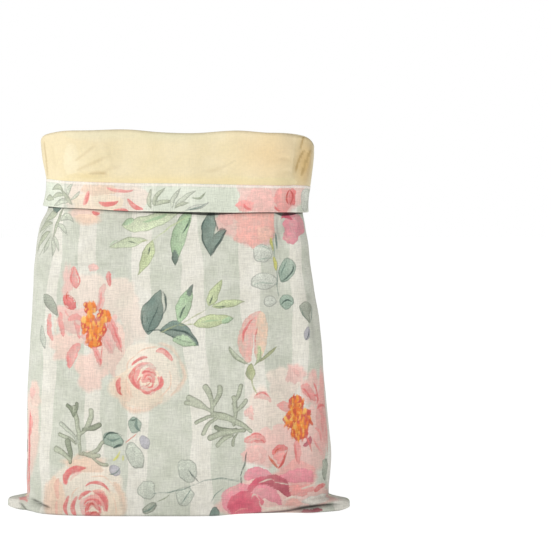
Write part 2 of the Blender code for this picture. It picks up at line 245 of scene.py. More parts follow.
LINING_CREASES = table(
    Crease,
    (-112, 338, -92, 350, -70, 369, 2.4, -0.7),
    (-104, 332, -84, 341, -60, 352, 2.2, 0.6),
    (-96, 328, -78, 334, -62, 331, 1.8, -0.6),
    (-76, 372, -66, 350, -64, 336, 3, 0.7),
    (-121, 326, -118, 345, -124, 368, 2.4, -0.9),
    (20, 332, 52, 342, 78, 366, 4, 0.5),
    (128.5, 379, 123, 366, 120, 353, 2.2, -1.1),
    (128, 360, 119.6, 347.6, 115.5, 329, 2.4, -1.5),
    (113, 366, 112, 348, 107, 326, 3.6, 1.1),
    (130, 366, 127, 345, 121.5, 328, 2.8, 2.6),
    (84, 340, 100, 349, 114, 345, 2.2, -0.9),
    (96, 330, 106, 336, 114, 334, 2, -0.7),
)
# Painted shade along the lining's creases; the last column is how much.
WAX_SHADE_LINES = table(
    Crease,
    (128.5, 381, 123, 366, 120, 353, 1.5, 0.85),
    (128, 360, 119.6, 347.6, 115.5, 329, 1.5, 1),
    (133, 361, 125.6, 343.7, 120, 323, 1.5, 0.8),
    (131, 366, 128, 346, 122, 326, 5, 0.4),
    (112, 340, 105, 350, 98, 368, 4, 0.22),
    (-131, 372, -128.5, 350, -127, 322, 1.6, 0.42),
    (-96, 328, -78, 334, -62, 331, 1.9, 0.4),
    (-104, 334, -84, 342, -60, 353, 1.8, 0.24),
    (-112, 338, -92, 350, -70, 369, 1.9, 0.22),
    (-72, 330, -64, 338, -50, 340, 1.9, 0.16),
    (20, 334, 52, 343, 78, 366, 2, 0.16),
)
WAX_SHADE_MOST = 0.85
# Tints and painted shade lines fade out over this depth in front of the side seams
TINT_FADE = 16.0
BAND_CREASES = table(
    Crease,
    (98, 296, 100, 308, 97, 322, 2.4, -0.8),
    (-70, 300, -50, 305, -30, 300, 2.4, 0.4),
    (-120, 316, -100, 311, -84, 314, 2, -0.4),
)

# The foot of the front wall stands a little off the ground toward the right
FOOT_LIFT = 2.2
FOOT_LIFT_X = 84.0
FOOT_LIFT_HALF = 38.0
FOOT_LIFT_TOP = 26.0

# Slow ripples of the cloth: length of each along x and z, its start and its height. They
# begin above the foot, and run differently in the back panel.
RIPPLE_FROM = 4.0
RIPPLE_OVER = 20.0
BACK_RIPPLE_TURN = 2.6
Ripple = namedtuple("Ripple", "along_x along_z start height")
RIPPLES = table(
    Ripple,
    (47, 190, 0.4, 0.28),
    (31, -130, 2.1, 0.16),
    (74, 96, 4, 0.3),
    (120, 33, 1.2, 0.14),
    (19, 210, 5.2, 0.07),
)


def smooth_steps(value):
    """Eased 0 to 1 ramp."""
    value = np.clip(value, 0.0, 1.0)
    return value * value * (3.0 - 2.0 * value)


def through(values, known, heights, level_ends=False):
    """Smooth curve through a table's points, with a slope at each from its neighbours."""
    known = np.asarray(known, float)
    heights = np.asarray(heights, float)
    slopes = np.gradient(heights, known)
    if level_ends:
        slopes[0] = 0.0
        slopes[-1] = 0.0
    values = np.clip(values, known[0], known[-1])
    index = np.clip(np.searchsorted(known, values) - 1, 0, len(known) - 2)
    span = known[index + 1] - known[index]
    part = (values - known[index]) / span
    start = (1.0 + 2.0 * part) * (1.0 - part) ** 2
    start_slope = part * (1.0 - part) ** 2
    end = part * part * (3.0 - 2.0 * part)
    end_slope = part * part * (part - 1.0)
    return (
        heights[index] * start
        + slopes[index] * span * start_slope
        + heights[index + 1] * end
        + slopes[index + 1] * span * end_slope
    )


def section_at(z):
    """The outline's measures at one height, from the table."""
    heights = [row.z for row in SECTIONS]
    measures = []
    for name in Section._fields:
        measures.append(float(through(z, heights, [getattr(row, name) for row in SECTIONS])))
    return Section(*measures)


def half_outline(section, depth_sign):
    """One half of a closed outline, from the left side to the right."""
    angle = np.linspace(math.pi, 0.0, RING_SAMPLES)
    leftward = np.cos(angle) < 0.0
    power = 2.0 / np.where(leftward, section.square_left, section.square_right)
    reach = np.where(leftward, section.left + CROWN_X, section.right - CROWN_X)
    x = CROWN_X + reach * np.sign(np.cos(angle)) * np.abs(np.cos(angle)) ** power
    depth = section.front if depth_sign < 0.0 else section.back
    y = depth_sign * depth * np.abs(np.sin(angle)) ** power
    for ear, tip_x, ear_reach, side in (
        (LEFT_EAR, -section.left - section.left_ear, section.left_ear, leftward),
        (RIGHT_EAR, section.right + section.right_ear, section.right_ear, ~leftward),
    ):
        from_tip = np.maximum(np.abs(y - ear.y) - ear.tip_flat, 0.0)
        lobe = np.exp(-((from_tip / ear.half_depth) ** ear.power)) * smooth_steps(ear_reach / EAR_BLEND)
        x = x + np.where(side, (tip_x - x) * lobe, 0.0)
    return x, y


def outline(section, side, fractions):
    """Points at given fractions of the way across one panel, left seam to right seam."""
    front_x, front_y = half_outline(section, -1.0)
    back_x, back_y = half_outline(section, 1.0)
    x = np.concatenate([front_x, back_x[::-1][1:]])
    y = np.concatenate([front_y, back_y[::-1][1:]])
    travel = np.concatenate([[0.0], np.cumsum(np.hypot(np.diff(x), np.diff(y)))])
    half = RING_SAMPLES // 2
    left = np.interp(section.left_seam, -front_y[:half], travel[:half])
    right_part = slice(RING_SAMPLES - 1, half, -1)
    right = np.interp(section.right_seam, -front_y[right_part], travel[right_part])
    margin = PIECE_GAP / 2.0
    if side == "front":
        wanted = left + margin + fractions * (right - left - 2.0 * margin)
    else:
        wanted = left - margin - fractions * (travel[-1] - right + left - 2.0 * margin)
    wanted = wanted % travel[-1]
    return np.interp(wanted, travel, x), np.interp(wanted, travel, y)


def fold_rise(side, x, z, fractions):
    """How far the main folds push the wall out, at each point of it."""
    rise = np.zeros_like(x)
    for fold in FRONT_FOLDS if side == "front" else BACK_FOLDS:
        along = (z - fold.low_z) / (fold.high_z - fold.low_z)
        centre = fold.low_x + (fold.high_x - fold.low_x) * along
        ends = smooth_steps(along / FOLD_FADE) * smooth_steps((1.0 - along) / FOLD_FADE)
        rise += fold.rise * ends * np.exp(-(((x - centre) / fold.half_width) ** 2))
    nearest = np.minimum(fractions, 1.0 - fractions)
    return rise * smooth_steps(nearest / SEAM_FADE)


def curve_path(places, steps):
    """Points along the curve through three points, given as six places."""
    start, middle, end = np.array(places, float).reshape(3, 2)
    pull = 2.0 * middle - (start + end) / 2.0
    share = np.linspace(0.0, 1.0, steps + 1)[:, None]
    return (1.0 - share) ** 2 * start + 2.0 * share * (1.0 - share) * pull + share**2 * end


def beside_path(path, x, y):
    """Each point's distance from a path, how far along it lies, and on which side."""
    nearest = np.full(x.shape, np.inf)
    along = np.zeros(x.shape)
    side = np.zeros(x.shape)
    for i, (run_x, run_y) in enumerate(np.diff(path, axis=0)):
        from_x = x - path[i, 0]
        from_y = y - path[i, 1]
        part = np.clip((from_x * run_x + from_y * run_y) / (run_x**2 + run_y**2), 0.0, 1.0)
        away = np.hypot(from_x - part * run_x, from_y - part * run_y)
        closer = away < nearest
        nearest = np.where(closer, away, nearest)
        along = np.where(closer, (i + part) / (len(path) - 1), along)
        side = np.where(closer, np.sign(from_y * run_x - from_x * run_y), side)
    return nearest, along, side


def crease_rise(creases, x, z):
    """How far soft creases push a sheet out, each fading towards its two ends."""
    rise = np.zeros_like(x)
    for crease in creases:
        path = curve_path(crease[:6], CREASE_STEPS)
        margin = 3.0 * crease.half_width
        near = (x > path[:, 0].min() - margin) & (x < path[:, 0].max() + margin)
        near &= (z > path[:, 1].min() - margin) & (z < path[:, 1].max() + margin)
        nearest, along, _ = beside_path(path, x[near], z[near])
        ends = smooth_steps(along / CREASE_FADE) * smooth_steps((1.0 - along) / CREASE_FADE)
        rise[near] += crease.rise * ends * np.exp(-((nearest / crease.half_width) ** 2))
    return rise


def ripple_rise(x, z, turn):
    """Slow unevenness of cloth that nothing stretches."""
    rise = np.zeros_like(x)
    for ripple in RIPPLES:
        wave = 2.0 * math.pi * (x / ripple.along_x + z / ripple.along_z)
        rise += ripple.height * np.sin(wave + ripple.start + turn)
    return rise * smooth_steps((z - RIPPLE_FROM) / RIPPLE_OVER)


def surface_normals(points):
    """Unit normals of a grid of points, away from the bag's inside."""
    along = np.gradient(points, axis=0)
    across = np.gradient(points, axis=1)
    normals = np.cross(across, along)
    return normals / np.linalg.norm(normals, axis=2, keepdims=True)


class Skin:
    """Outer face of one panel from the bottom seam upward, finely sampled.

    Its rows are numbered by a level: 0 to 1 on the ground, from the bottom seam to the
    edge of the base, and above that 1 plus the height in millimetres.
    """

    def __init__(self, side):
        self.side = side
        front = side == "front"
        toward = -1.0 if front else 1.0
        self.columns = SKIN_COLUMNS
        floor_levels = np.linspace(0.0, 1.0, SKIN_FLOOR_ROWS)
        low_levels = 1.0 + np.arange(SKIN_LOW_STEP, SKIN_LOW_TOP, SKIN_LOW_STEP)
        high_levels = 1.0 + np.arange(SKIN_LOW_TOP, SKIN_TOP, SKIN_HIGH_STEP)
        self.levels = np.concatenate([floor_levels, low_levels, high_levels])
        rows = []
        # One column more at each end, past the seams, gives both panels the same normals there.
        fractions = np.arange(-1, self.columns + 2) / self.columns
        edge_x, edge_y = outline(section_at(0.0), side, fractions)
        seam_x = SEAM_LINE_HALF * (2.0 * fractions - 1.0)
        bend = smooth_steps((fractions - 1.0 + SEAM_LINE_BEND) / SEAM_LINE_BEND)
        seam_y = RIGHT_EAR.y * bend + toward * PIECE_GAP / 2.0
        for level in self.levels:
            if level <= 1.0:
                x = seam_x + (edge_x - seam_x) * level
                y = seam_y + (edge_y - seam_y) * level
                z = 0.0
            else:
                z = level - 1.0
                x, y = outline(section_at(z), side, fractions)
            rows.append(np.stack([x, y, np.full_like(x, z)], axis=1))
        plain = np.array(rows)
        normals = surface_normals(plain) * -toward
        across = fractions[None, :] * np.ones((len(rows), 1))
        rise = fold_rise(side, plain[..., 0], plain[..., 2], across)
        fine = ripple_rise(plain[..., 0], plain[..., 2], 0.0 if front else BACK_RIPPLE_TURN)
        creases = FRONT_CREASES if front else BACK_CREASES
        fine += crease_rise(creases, plain[..., 0], plain[..., 2])
        nearest = np.minimum(across, 1.0 - across)
        rise = rise + fine * smooth_steps(nearest / FINE_SEAM_FADE)
        folded = plain + normals * rise[..., None]
        folded[..., 2] = np.maximum(folded[..., 2], 0.0)
        if front:
            inward = np.minimum(self.levels, 1.0)[:, None] ** 3
            raised = FOOT_LIFT * np.exp(-(((folded[..., 0] - FOOT_LIFT_X) / FOOT_LIFT_HALF) ** 4))
            folded[..., 2] += raised * inward * smooth_steps(1.0 - folded[..., 2] / FOOT_LIFT_TOP)
        normals = surface_normals(folded)[:, 1:-1] * -toward
        self.points = folded[:, 1:-1]
        upright = smooth_steps((self.points[..., 2] - UPRIGHT_FROM) / UPRIGHT_OVER)
        normals[..., 2] *= 1.0 - upright
        normals[self.levels <= 1.0] = (0.0, 0.0, -1.0)
        self.normals = normals / np.linalg.norm(normals, axis=2, keepdims=True)

    def at(self, level, fractions, out):
        """Points that lie a distance outside the skin, at one level per fraction."""
        level = np.broadcast_to(level, fractions.shape)
        row = np.interp(level, self.levels, np.arange(len(self.levels)))
        column = fractions * self.columns
        low = np.clip(row.astype(int), 0, len(self.levels) - 2)
        left = np.clip(column.astype(int), 0, self.columns - 1)
        up = (row - low)[:, None]
        right = (column - left)[:, None]

        def mixed(grid):
            below = grid[low, left] * (1.0 - right) + grid[low, left + 1] * right
            above = grid[low + 1, left] * (1.0 - right) + grid[low + 1, left + 1] * right
            return below * (1.0 - up) + above * up

        normal = mixed(self.normals)
        normal = normal / np.linalg.norm(normal, axis=1, keepdims=True)
        return mixed(self.points) + normal * np.broadcast_to(out, fractions.shape)[:, None]

    def rim(self, name, fractions):
        """A rim measure from the table, at each fraction of the way across."""
        rows = FRONT_RIM if self.side == "front" else BACK_RIM
        known = [row.across for row in rows]
        heights = [getattr(row, name) for row in rows]
        return through(fractions, known, heights, level_ends=True)


def fine_fractions(count):
    """Where a sheet's columns stand across it: even, but for the rows along the seams."""
    ends = np.array(SEAM_COLUMNS) / PANEL_WIDTH
    middle = np.linspace(ends[-1], 1.0 - ends[-1], count + 1)[1:-1]
    return np.concatenate([ends, middle, 1.0 - ends[::-1]])


def seam_turn(fractions):
    """How far a sheet's edges turn in at the side seams."""
    nearest = np.minimum(fractions, 1.0 - fractions) * PANEL_WIDTH
    return -SEAM_GROOVE * np.exp(-((nearest / SEAM_GROOVE_HALF) ** 2))


def cuff_gap(skin, fractions, z):
    """Space between the two printed layers in the cuff, at a height."""
    top = skin.rim("top", fractions)
    mouth = skin.rim("mouth", fractions)
    fall = np.clip((top - z) / (top - mouth), 0.0, 1.0)
    return FOLD_GAP + skin.rim("flare", fractions) * fall**FLARE_POWER


def cuff_levels(skin, fractions):
    """Centres of the cuff's top fold and of its mouth's turn, and the sewn line."""
    fold_centre = skin.rim("top", fractions) - FOLD_GAP / 2.0 - STACK - LINING_EASE
    turn_centre = skin.rim("mouth", fractions) + HEM_RADIUS + OUTER_THICK / 2.0
    return fold_centre, turn_centre, skin.rim("sewn", fractions)


class Sheet:
    """Rows of points of one sheet, with the place of each on the flat cloth."""

    def __init__(self, skin, fractions):
        self.skin = skin
        self.fractions = fractions
        self.rows = []
        self.down = []
        self.zone = []

    def add(self, points, down, zone):
        """One more row: its points, its place down the cloth, and its part of the sheet."""
        self.rows.append(points)
        self.down.append(np.broadcast_to(down, self.fractions.shape))
        self.zone.append(zone)

    def rise_to_fold(self, out, wall_heights, hidden, base_ease):
        """Across the ground, up the wall and behind the cuff, to where its fold begins."""
        skin = self.skin
        fractions = self.fractions
        for level in np.linspace(0.0, 1.0, FLOOR_ROWS)[:-1]:
            points = skin.at(level, fractions, out - base_ease)
            self.add(points, (level - 1.0) * BASE_HALF, "floor")
        for height in wall_heights:
            share = smooth_steps(1.0 - height / BASE_EASE_TOP)
            points = skin.at(1.0 + height, fractions, out - base_ease * share)
            self.add(points, height, "wall")
        fold_centre = cuff_levels(skin, fractions)[0]
        for step in np.linspace(0.0, 1.0, hidden + 1)[1:]:
            height = wall_heights[-1] + (fold_centre - wall_heights[-1]) * step
            self.add(skin.at(1.0 + height, fractions, out), height, "wall")

    def close_sides(self):
        """Carry each row's two ends on to the side seams, so that no light shows between panels."""
        for row in self.rows:
            for end, beside in ((0, 1), (-1, -2)):
                outward = row[end] - row[beside]
                row[end] += outward / np.linalg.norm(outward) * (PIECE_GAP / 2.0 + SEAM_LAP)

    def turn(self, centre_out, centre_z, radius, rise, steps, down, zone):
        """A half turn from an inner layer to an outer one, its two ends left off."""
        for step in range(1, steps):
            angle = math.pi * step / steps
            out = centre_out - radius * math.cos(angle)
            points = self.skin.at(1.0 + centre_z, self.fractions, out)
            points[:, 2] += rise * math.sin(angle)
            self.add(points, down, zone)

    def fall(self, start, end, steps, out, zone, creases=()):
        """A layer of the cuff from one height to another, outside its inner gap."""
        for step in np.linspace(0.0, 1.0, steps + 1):
            height = start + (end - start) * step
            gap = cuff_gap(self.skin, self.fractions, height)
            points = self.skin.at(1.0 + height, self.fractions, gap + out)
            if creases:
                extra = crease_rise(creases, points[:, 0], points[:, 2])
                points = self.skin.at(1.0 + height, self.fractions, gap + out + extra)
            self.add(points, height, zone)


def outer_sheet(skin):
    """Printed face of an outer panel: up the wall, down the cuff and up its hem band."""
    fractions = fine_fractions(OUTER_COLUMNS)
    sheet = Sheet(skin, fractions)
    low = np.arange(0.0, WALL_LOW_TOP, WALL_STEP_LOW)
    high = np.arange(WALL_LOW_TOP, HIDDEN_FROM + WALL_STEP, WALL_STEP)
    edge = seam_turn(fractions)
    sheet.rise_to_fold(edge, np.concatenate([low, high]), OUTER_HIDDEN_ROWS, 0.0)
    fold_centre, turn_centre, sewn = cuff_levels(skin, fractions)
    middle = FOLD_GAP / 2.0
    sheet.turn(
        middle, fold_centre, middle, middle, OUTER_FOLD_ROWS, OUTER_FOLD_PLACE, "hidden"
    )
    sheet.fall(fold_centre, turn_centre, OUTER_HIDDEN_ROWS, 0.0, "hidden")
    half = OUTER_THICK / 2.0
    hem_middle = cuff_gap(skin, fractions, turn_centre) + half + HEM_RADIUS
    hem_outer = HEM_RADIUS + half
    sheet.turn(
        hem_middle, turn_centre, hem_outer, -hem_outer, HEM_ROWS, turn_centre - 1.0, "band"
    )
    band_out = half + 2.0 * HEM_RADIUS + half
    sheet.fall(turn_centre, sewn + BAND_EDGE, BAND_ROWS, band_out + edge, "band", BAND_CREASES)
    gap = cuff_gap(skin, fractions, sewn)
    for rise, run, turned_in in BAND_TURN:
        points = skin.at(1.0 + sewn + rise, fractions, gap + band_out - turned_in)
        sheet.add(points, sewn + run, "band")
    return sheet


def lining_sheet(skin):
    """Waxed face of a lining panel: up inside the wall and down the cuff's outside."""
    fractions = fine_fractions(LINING_COLUMNS)
    sheet = Sheet(skin, fractions)
    heights = np.arange(0.0, LINING_HIDDEN_FROM, LINING_STEP)
    sheet.rise_to_fold(-STACK, heights, LINING_HIDDEN_ROWS, BASE_EASE)
    fold_centre, _, sewn = cuff_levels(skin, fractions)
    middle = FOLD_GAP / 2.0
    radius = middle + STACK
    sheet.turn(
        middle, fold_centre, radius, radius + LINING_EASE, LINING_FOLD_ROWS, LINING_FOLD_PLACE, "cuff"
    )
    sheet.fall(fold_centre, sewn, CUFF_ROWS, STACK + seam_turn(fractions), "cuff", LINING_CREASES)
    sheet.fall(sewn - 1.0, sewn - LINING_TUCK, TUCK_ROWS, STACK - LINING_TUCK_IN, "tucked")
    sheet.close_sides()
    return sheet


# Print. The artwork has its own units, across and down from its top left corner.
ART_UNIT = 0.966
ART_LEFT = -169.6
ART_TOP = 501.4
ART_SINK = 5.5
ART_SINK_FROM = 380.0
ART_SINK_OVER = 120.0
# Widest range of depth inside or outside a shape that the mesh keeps
FIELD_RANGE = 8.0

# Threads of the weave, in waves per millimetre
THREAD_SCALE = 0.32

TONES = {
    "sage": (206, 210, 196),
    "cream": (229, 226, 214),
    "leaf_light": (208, 218, 184),
    "leaf_lime": (199, 210, 163),
    "leaf_mid": (172, 199, 160),
    "leaf_teal": (155, 174, 158),
    "leaf_dark": (114, 135, 125),
    "leaf_deep": (66, 84, 78),
    "leaf_grey": (205, 208, 196),
    "leaf_ash": (164, 170, 154),
    "leaf_mist": (196, 201, 187),
    "lilac": (180, 178, 184),
    "frond": (188, 194, 170),
    "frond_dark": (146, 155, 130),
    "frond_pale": (205, 210, 192),
    "stem": (176, 182, 136),
    "blush": (236, 202, 188),
    "blush_pale": (231, 214, 200),
    "pink": (234, 158, 152),
    "pink_pale": (234, 186, 177),
    "coral": (226, 122, 120),
    "red": (208, 88, 82),
    "rose_deep": (216, 94, 116),
    "rose_dark": (190, 92, 106),
    "magenta": (232, 146, 158),
    "peach": (235, 202, 177),
    "peach_pale": (235, 214, 190),
    "petal_cream": (233, 220, 203),
    "orange": (232, 130, 60),
    "amber": (238, 160, 72),
    "rust": (208, 92, 62),
    "gold": (246, 194, 106),
    "yellow": (214, 212, 120),
    "salmon": (236, 176, 164),
    "mint": (213, 219, 202),
    "apricot": (238, 190, 172),
    "leaf_tip": (112, 128, 116),
    # Painted highlight of the hem's top edge
    "hem_highlight": (238, 230, 219),
    "thread": (196, 195, 180),
    "sage_low": (200, 203, 187),
    "sage_high": (214, 215, 202),
    "cream_low": (223, 220, 207),
    "cream_high": (232, 229, 218),
    "wax_low": (228, 213, 172),
    "wax_high": (235, 221, 185),
    # Painted shade along the lining's creases
    "wax_crease_shade": (176, 144, 84),
    "wax_plain": (240, 226, 182),
    "wax_mint": (214, 216, 190),
    "wax_green": (208, 216, 188),
    "wax_yellow": (238, 218, 160),
    "wax_straw": (232, 214, 174),
    "wax_apricot": (242, 208, 156),
    # Painted shade at the lining's right end
    "wax_brown": (205, 170, 106),
    "wax_pale": (250, 240, 214),
    "wax_ochre": (228, 206, 146),
}

# Cream stripes: where the middle of each lies at two heights, and its half width. They
# slant no further beyond STRIPE_ENDS, and sway and swell a little: size, length and shift.
STRIPE_HIGH_Y = 270.0
STRIPE_LOW_Y = 400.0
STRIPE_ENDS = (-0.6, 1.3)
STRIPE_SWAY = ((1.3, 21.0, 1.9), (0.7, 9.0, 4.1))
STRIPE_SWELL = (1.0, 33.0, 2.7)
Stripe = namedtuple("Stripe", "high_x low_x half_width")
STRIPES = table(
    Stripe,
    (-2, -8, 8),
    (49, 42, 7),
    (87, 92, 9),
    (141, 137, 10),
    (191, 199, 11),
    (251, 256, 11),
    (302, 306, 8),
    (346, 350, 9),
)

# The kinds of shape. Patch: a soft patch, a petal or a drop, with its centre, half sizes,
# turn in degrees and unevenness. Curl: a leaf, petal or stroke along a curve through three
# points, widest in its middle. Dab: the same between two points, bent to one side (below 0
# the other). Frond: a branch or lobe with round ends. Stamens: a cluster of small drops.
Patch = namedtuple("Patch", "layer x y half_x half_y turn wobble tone")
Curl = namedtuple("Curl", "layer x0 y0 x1 y1 x2 y2 width tone")
Dab = namedtuple("Dab", "layer x0 y0 x1 y1 width bend tone")
Frond = namedtuple("Frond", "layer x0 y0 x1 y1 bend width tone")
Stamens = namedtuple("Stamens", "x y half_x half_y count size")


def shapes(kind, layer, *groups):
    """Shapes of one kind and layer: each group is a tone, and the measures of its shapes."""
    return [kind(layer, *row, tone) for tone, *rows in groups for row in rows]


WASH_PATCHES = shapes(
    Patch, "wash",
    # Blush rose that the cuff half covers
    ("blush", (84, 214, 18, 10, 0, 0.1)),
    ("peach", (86, 220, 14, 6, 0, 0.1)),
    # First peony
    ("blush_pale", (96, 298, 30, 26, 10, 0.25), (122, 304, 16, 22, 0, 0.3)),
    ("pink_pale", (65, 283, 6, 18, 4, 0.25), (72, 320, 22, 14, 0, 0.25)),
    ("blush", (62, 346, 18, 14, -20, 0.25), (90, 372, 17, 20, 0, 0.2), (112, 352, 20, 26, 0, 0.25)),
    ("pink_pale", (108, 334, 10, 18, 0, 0.25)),
    ("blush_pale", (134, 322, 12, 26, 0, 0.3)),
    # First rose
    ("petal_cream", (147, 376, 33, 33, 0, 0.06)),
    ("peach_pale", (137, 388, 28, 20, 0, 0.1)),
    ("peach", (122, 390, 8, 14, -20, 0.1)),
    # Second rose
    ("petal_cream", (84, 492, 40, 38, 0, 0.06)),
    ("peach_pale", (104, 506, 18, 22, 0, 0.1)),
    ("peach", (50, 500, 12, 26, 0, 0.1), (84, 461, 22, 8, 0, 0.2)),
    # Salmon and magenta peonies that the cuff half covers
    ("pink_pale", (232, 222, 18, 14, 0, 0.1), (254, 226, 26, 22, 0, 0.12)),
    # Second peony
    ("blush_pale", (286, 386, 19, 18, 0, 0.2)),
    ("pink_pale", (300, 376, 11, 10, 0, 0.2), (318, 392, 12, 18, 0, 0.2)),
    ("blush_pale", (268, 418, 22, 30, 0, 0.15)),
    ("pink_pale", (290, 446, 22, 22, 0, 0.2), (262, 448, 18, 18, 0, 0.2),
     (318, 440, 20, 34, 0, 0.2)),
    ("pink", (334, 414, 10, 40, 0, 0.15)),
    # Deep rose
    ("pink", (298, 477, 27, 16, 0, 0.15)),
    ("pink_pale", (322, 496, 26, 12, 0, 0.15), (262, 500, 44, 24, 0, 0.12)),
)
WASH_CURLS = shapes(
    Curl, "wash",
    # First rose
    ("peach", (115, 391, 133, 410, 162, 401, 6), (178, 360, 184, 378, 171, 396, 5),
     (158, 344, 171, 348, 180, 362, 4)),
    # Second rose
    ("peach", (47, 482, 41, 500, 46, 516, 8), (112, 478, 122, 494, 122, 514, 7),
     (66, 462, 86, 452, 106, 463, 6)),
)
FRONDS = shapes(
    Frond, "body",
    ("frond", (251, 430, 214, 414, 0.06, 7), (218, 416, 186, 403, 0.08, 5),
     (206, 408, 189, 398, 0.05, 6), (212, 412, 205, 387, 0.1, 6), (212, 406, 220, 388, 0.12, 6),
     (218, 416, 196, 422, 0.1, 4), (216, 418, 203, 432, 0.1, 5), (234, 424, 234, 398, 0.06, 5),
     (233, 404, 241, 387, 0.1, 5), (235, 412, 246, 401, 0.1, 4.5)),
    ("frond_dark", (236, 428, 216, 426, -0.1, 4.5)),
    ("frond", (244, 430, 210, 436, 0.06, 6), (232, 434, 218, 443, 0.1, 5),
     (237, 433, 233, 443, 0.1, 3.5), (78, 452, 72, 408, 0.04, 5)),
    ("frond_dark", (72, 416, 65, 406, 0.1, 4), (72, 416, 75, 404, 0.1, 4)),
    ("frond", (76, 434, 90, 411, 0.16, 6)),
    ("frond_dark", (82, 428, 98, 424, 0.1, 5.5)),
    ("frond_pale", (76, 440, 58, 424, 0.06, 4.5)),
    ("frond", (74, 442, 56, 434, 0.06, 4), (80, 452, 101, 441, 0.16, 4.5),
     (82, 450, 97, 453, 0.12, 5)),
    ("frond_dark", (68, 460, 65, 440, 0.06, 6)),
    ("frond", (68, 458, 52, 448, 0.06, 6), (90, 454, 106, 462, 0.1, 4)),
)
BODY_PATCHES = shapes(
    Patch, "body",
    # First peony
    ("pink_pale", (92, 268, 5, 4, 0, 0.1)),
    # Salmon and magenta peonies that the cuff half covers
    ("pink_pale", (226, 219, 9, 6, 0, 0.25)),
    ("salmon", (256, 221, 21, 14, 0, 0.2), (252, 236, 16, 11, 0, 0.25), (270, 228, 8, 14, 0, 0.2),
     (248, 240, 8, 5, 0, 0.25)),
    ("magenta", (299, 227, 9.5, 9.5, 0, 0.15), (296, 238, 8.5, 7, 0, 0.12)),
    ("apricot", (266, 234, 8, 8, 0, 0.2)),
    # Eucalyptus at the right
    ("leaf_grey", (264, 254, 11, 9, 0, 0.08), (266, 282, 15, 8.5, 0, 0.05)),
    ("leaf_teal", (291, 271, 8.5, 12.5, 22, 0.05)),
    ("leaf_grey", (272, 302, 7.5, 5.5, 0, 0.05)),
    ("leaf_teal", (290, 303, 7.5, 7.5, 0, 0.06)),
    ("leaf_ash", (311, 311, 7.5, 7.5, 0, 0.08)),
    ("lilac", (312, 336, 3.4, 7.5, 14, 0.05)),
    # Small leaves low in the middle
    ("leaf_teal", (112, 438, 11, 7, 14, 0.08), (134, 424, 6.5, 8, -14, 0.06)),
    ("lilac", (144, 440, 5, 7, -30, 0.05)),
    ("leaf_mist", (134, 453, 8, 14, -28, 0.06)),
    ("lilac", (114, 467, 6.5, 5, 30, 0.06)),
    ("leaf_mist", (146, 486, 9, 9.5, 0, 0.08)),
    ("leaf_ash", (149, 504, 8.5, 4.6, -36, 0.05)),
    ("leaf_mist", (187, 467, 9.5, 12, -24, 0.06), (184, 492, 9, 10, 20, 0.08)),
    # Second peony
    ("pink_pale", (250, 413, 5, 6, 0, 0.25), (252, 452, 8, 8, 0, 0.25)),
    ("pink", (281, 455, 6.5, 7, 20, 0.2)),
    ("leaf_ash", (335, 470, 5, 11, 0, 0.15)),
    # Deep rose
    ("magenta", (242, 498, 21, 18, 0, 0.05)),
    ("rose_deep", (245, 503, 18, 15, 0, 0.06)),
    ("magenta", (301, 475, 20, 7, 0, 0.15)),
    ("pink", (304, 489, 15, 6, 0, 0.2)),
    ("salmon", (296, 502, 10, 4, 0, 0.2)),
    ("cream", (322, 500, 17, 4.5, -6, 0.15)),
    ("leaf_dark", (214, 510, 5, 7, 16, 0.08)),
)
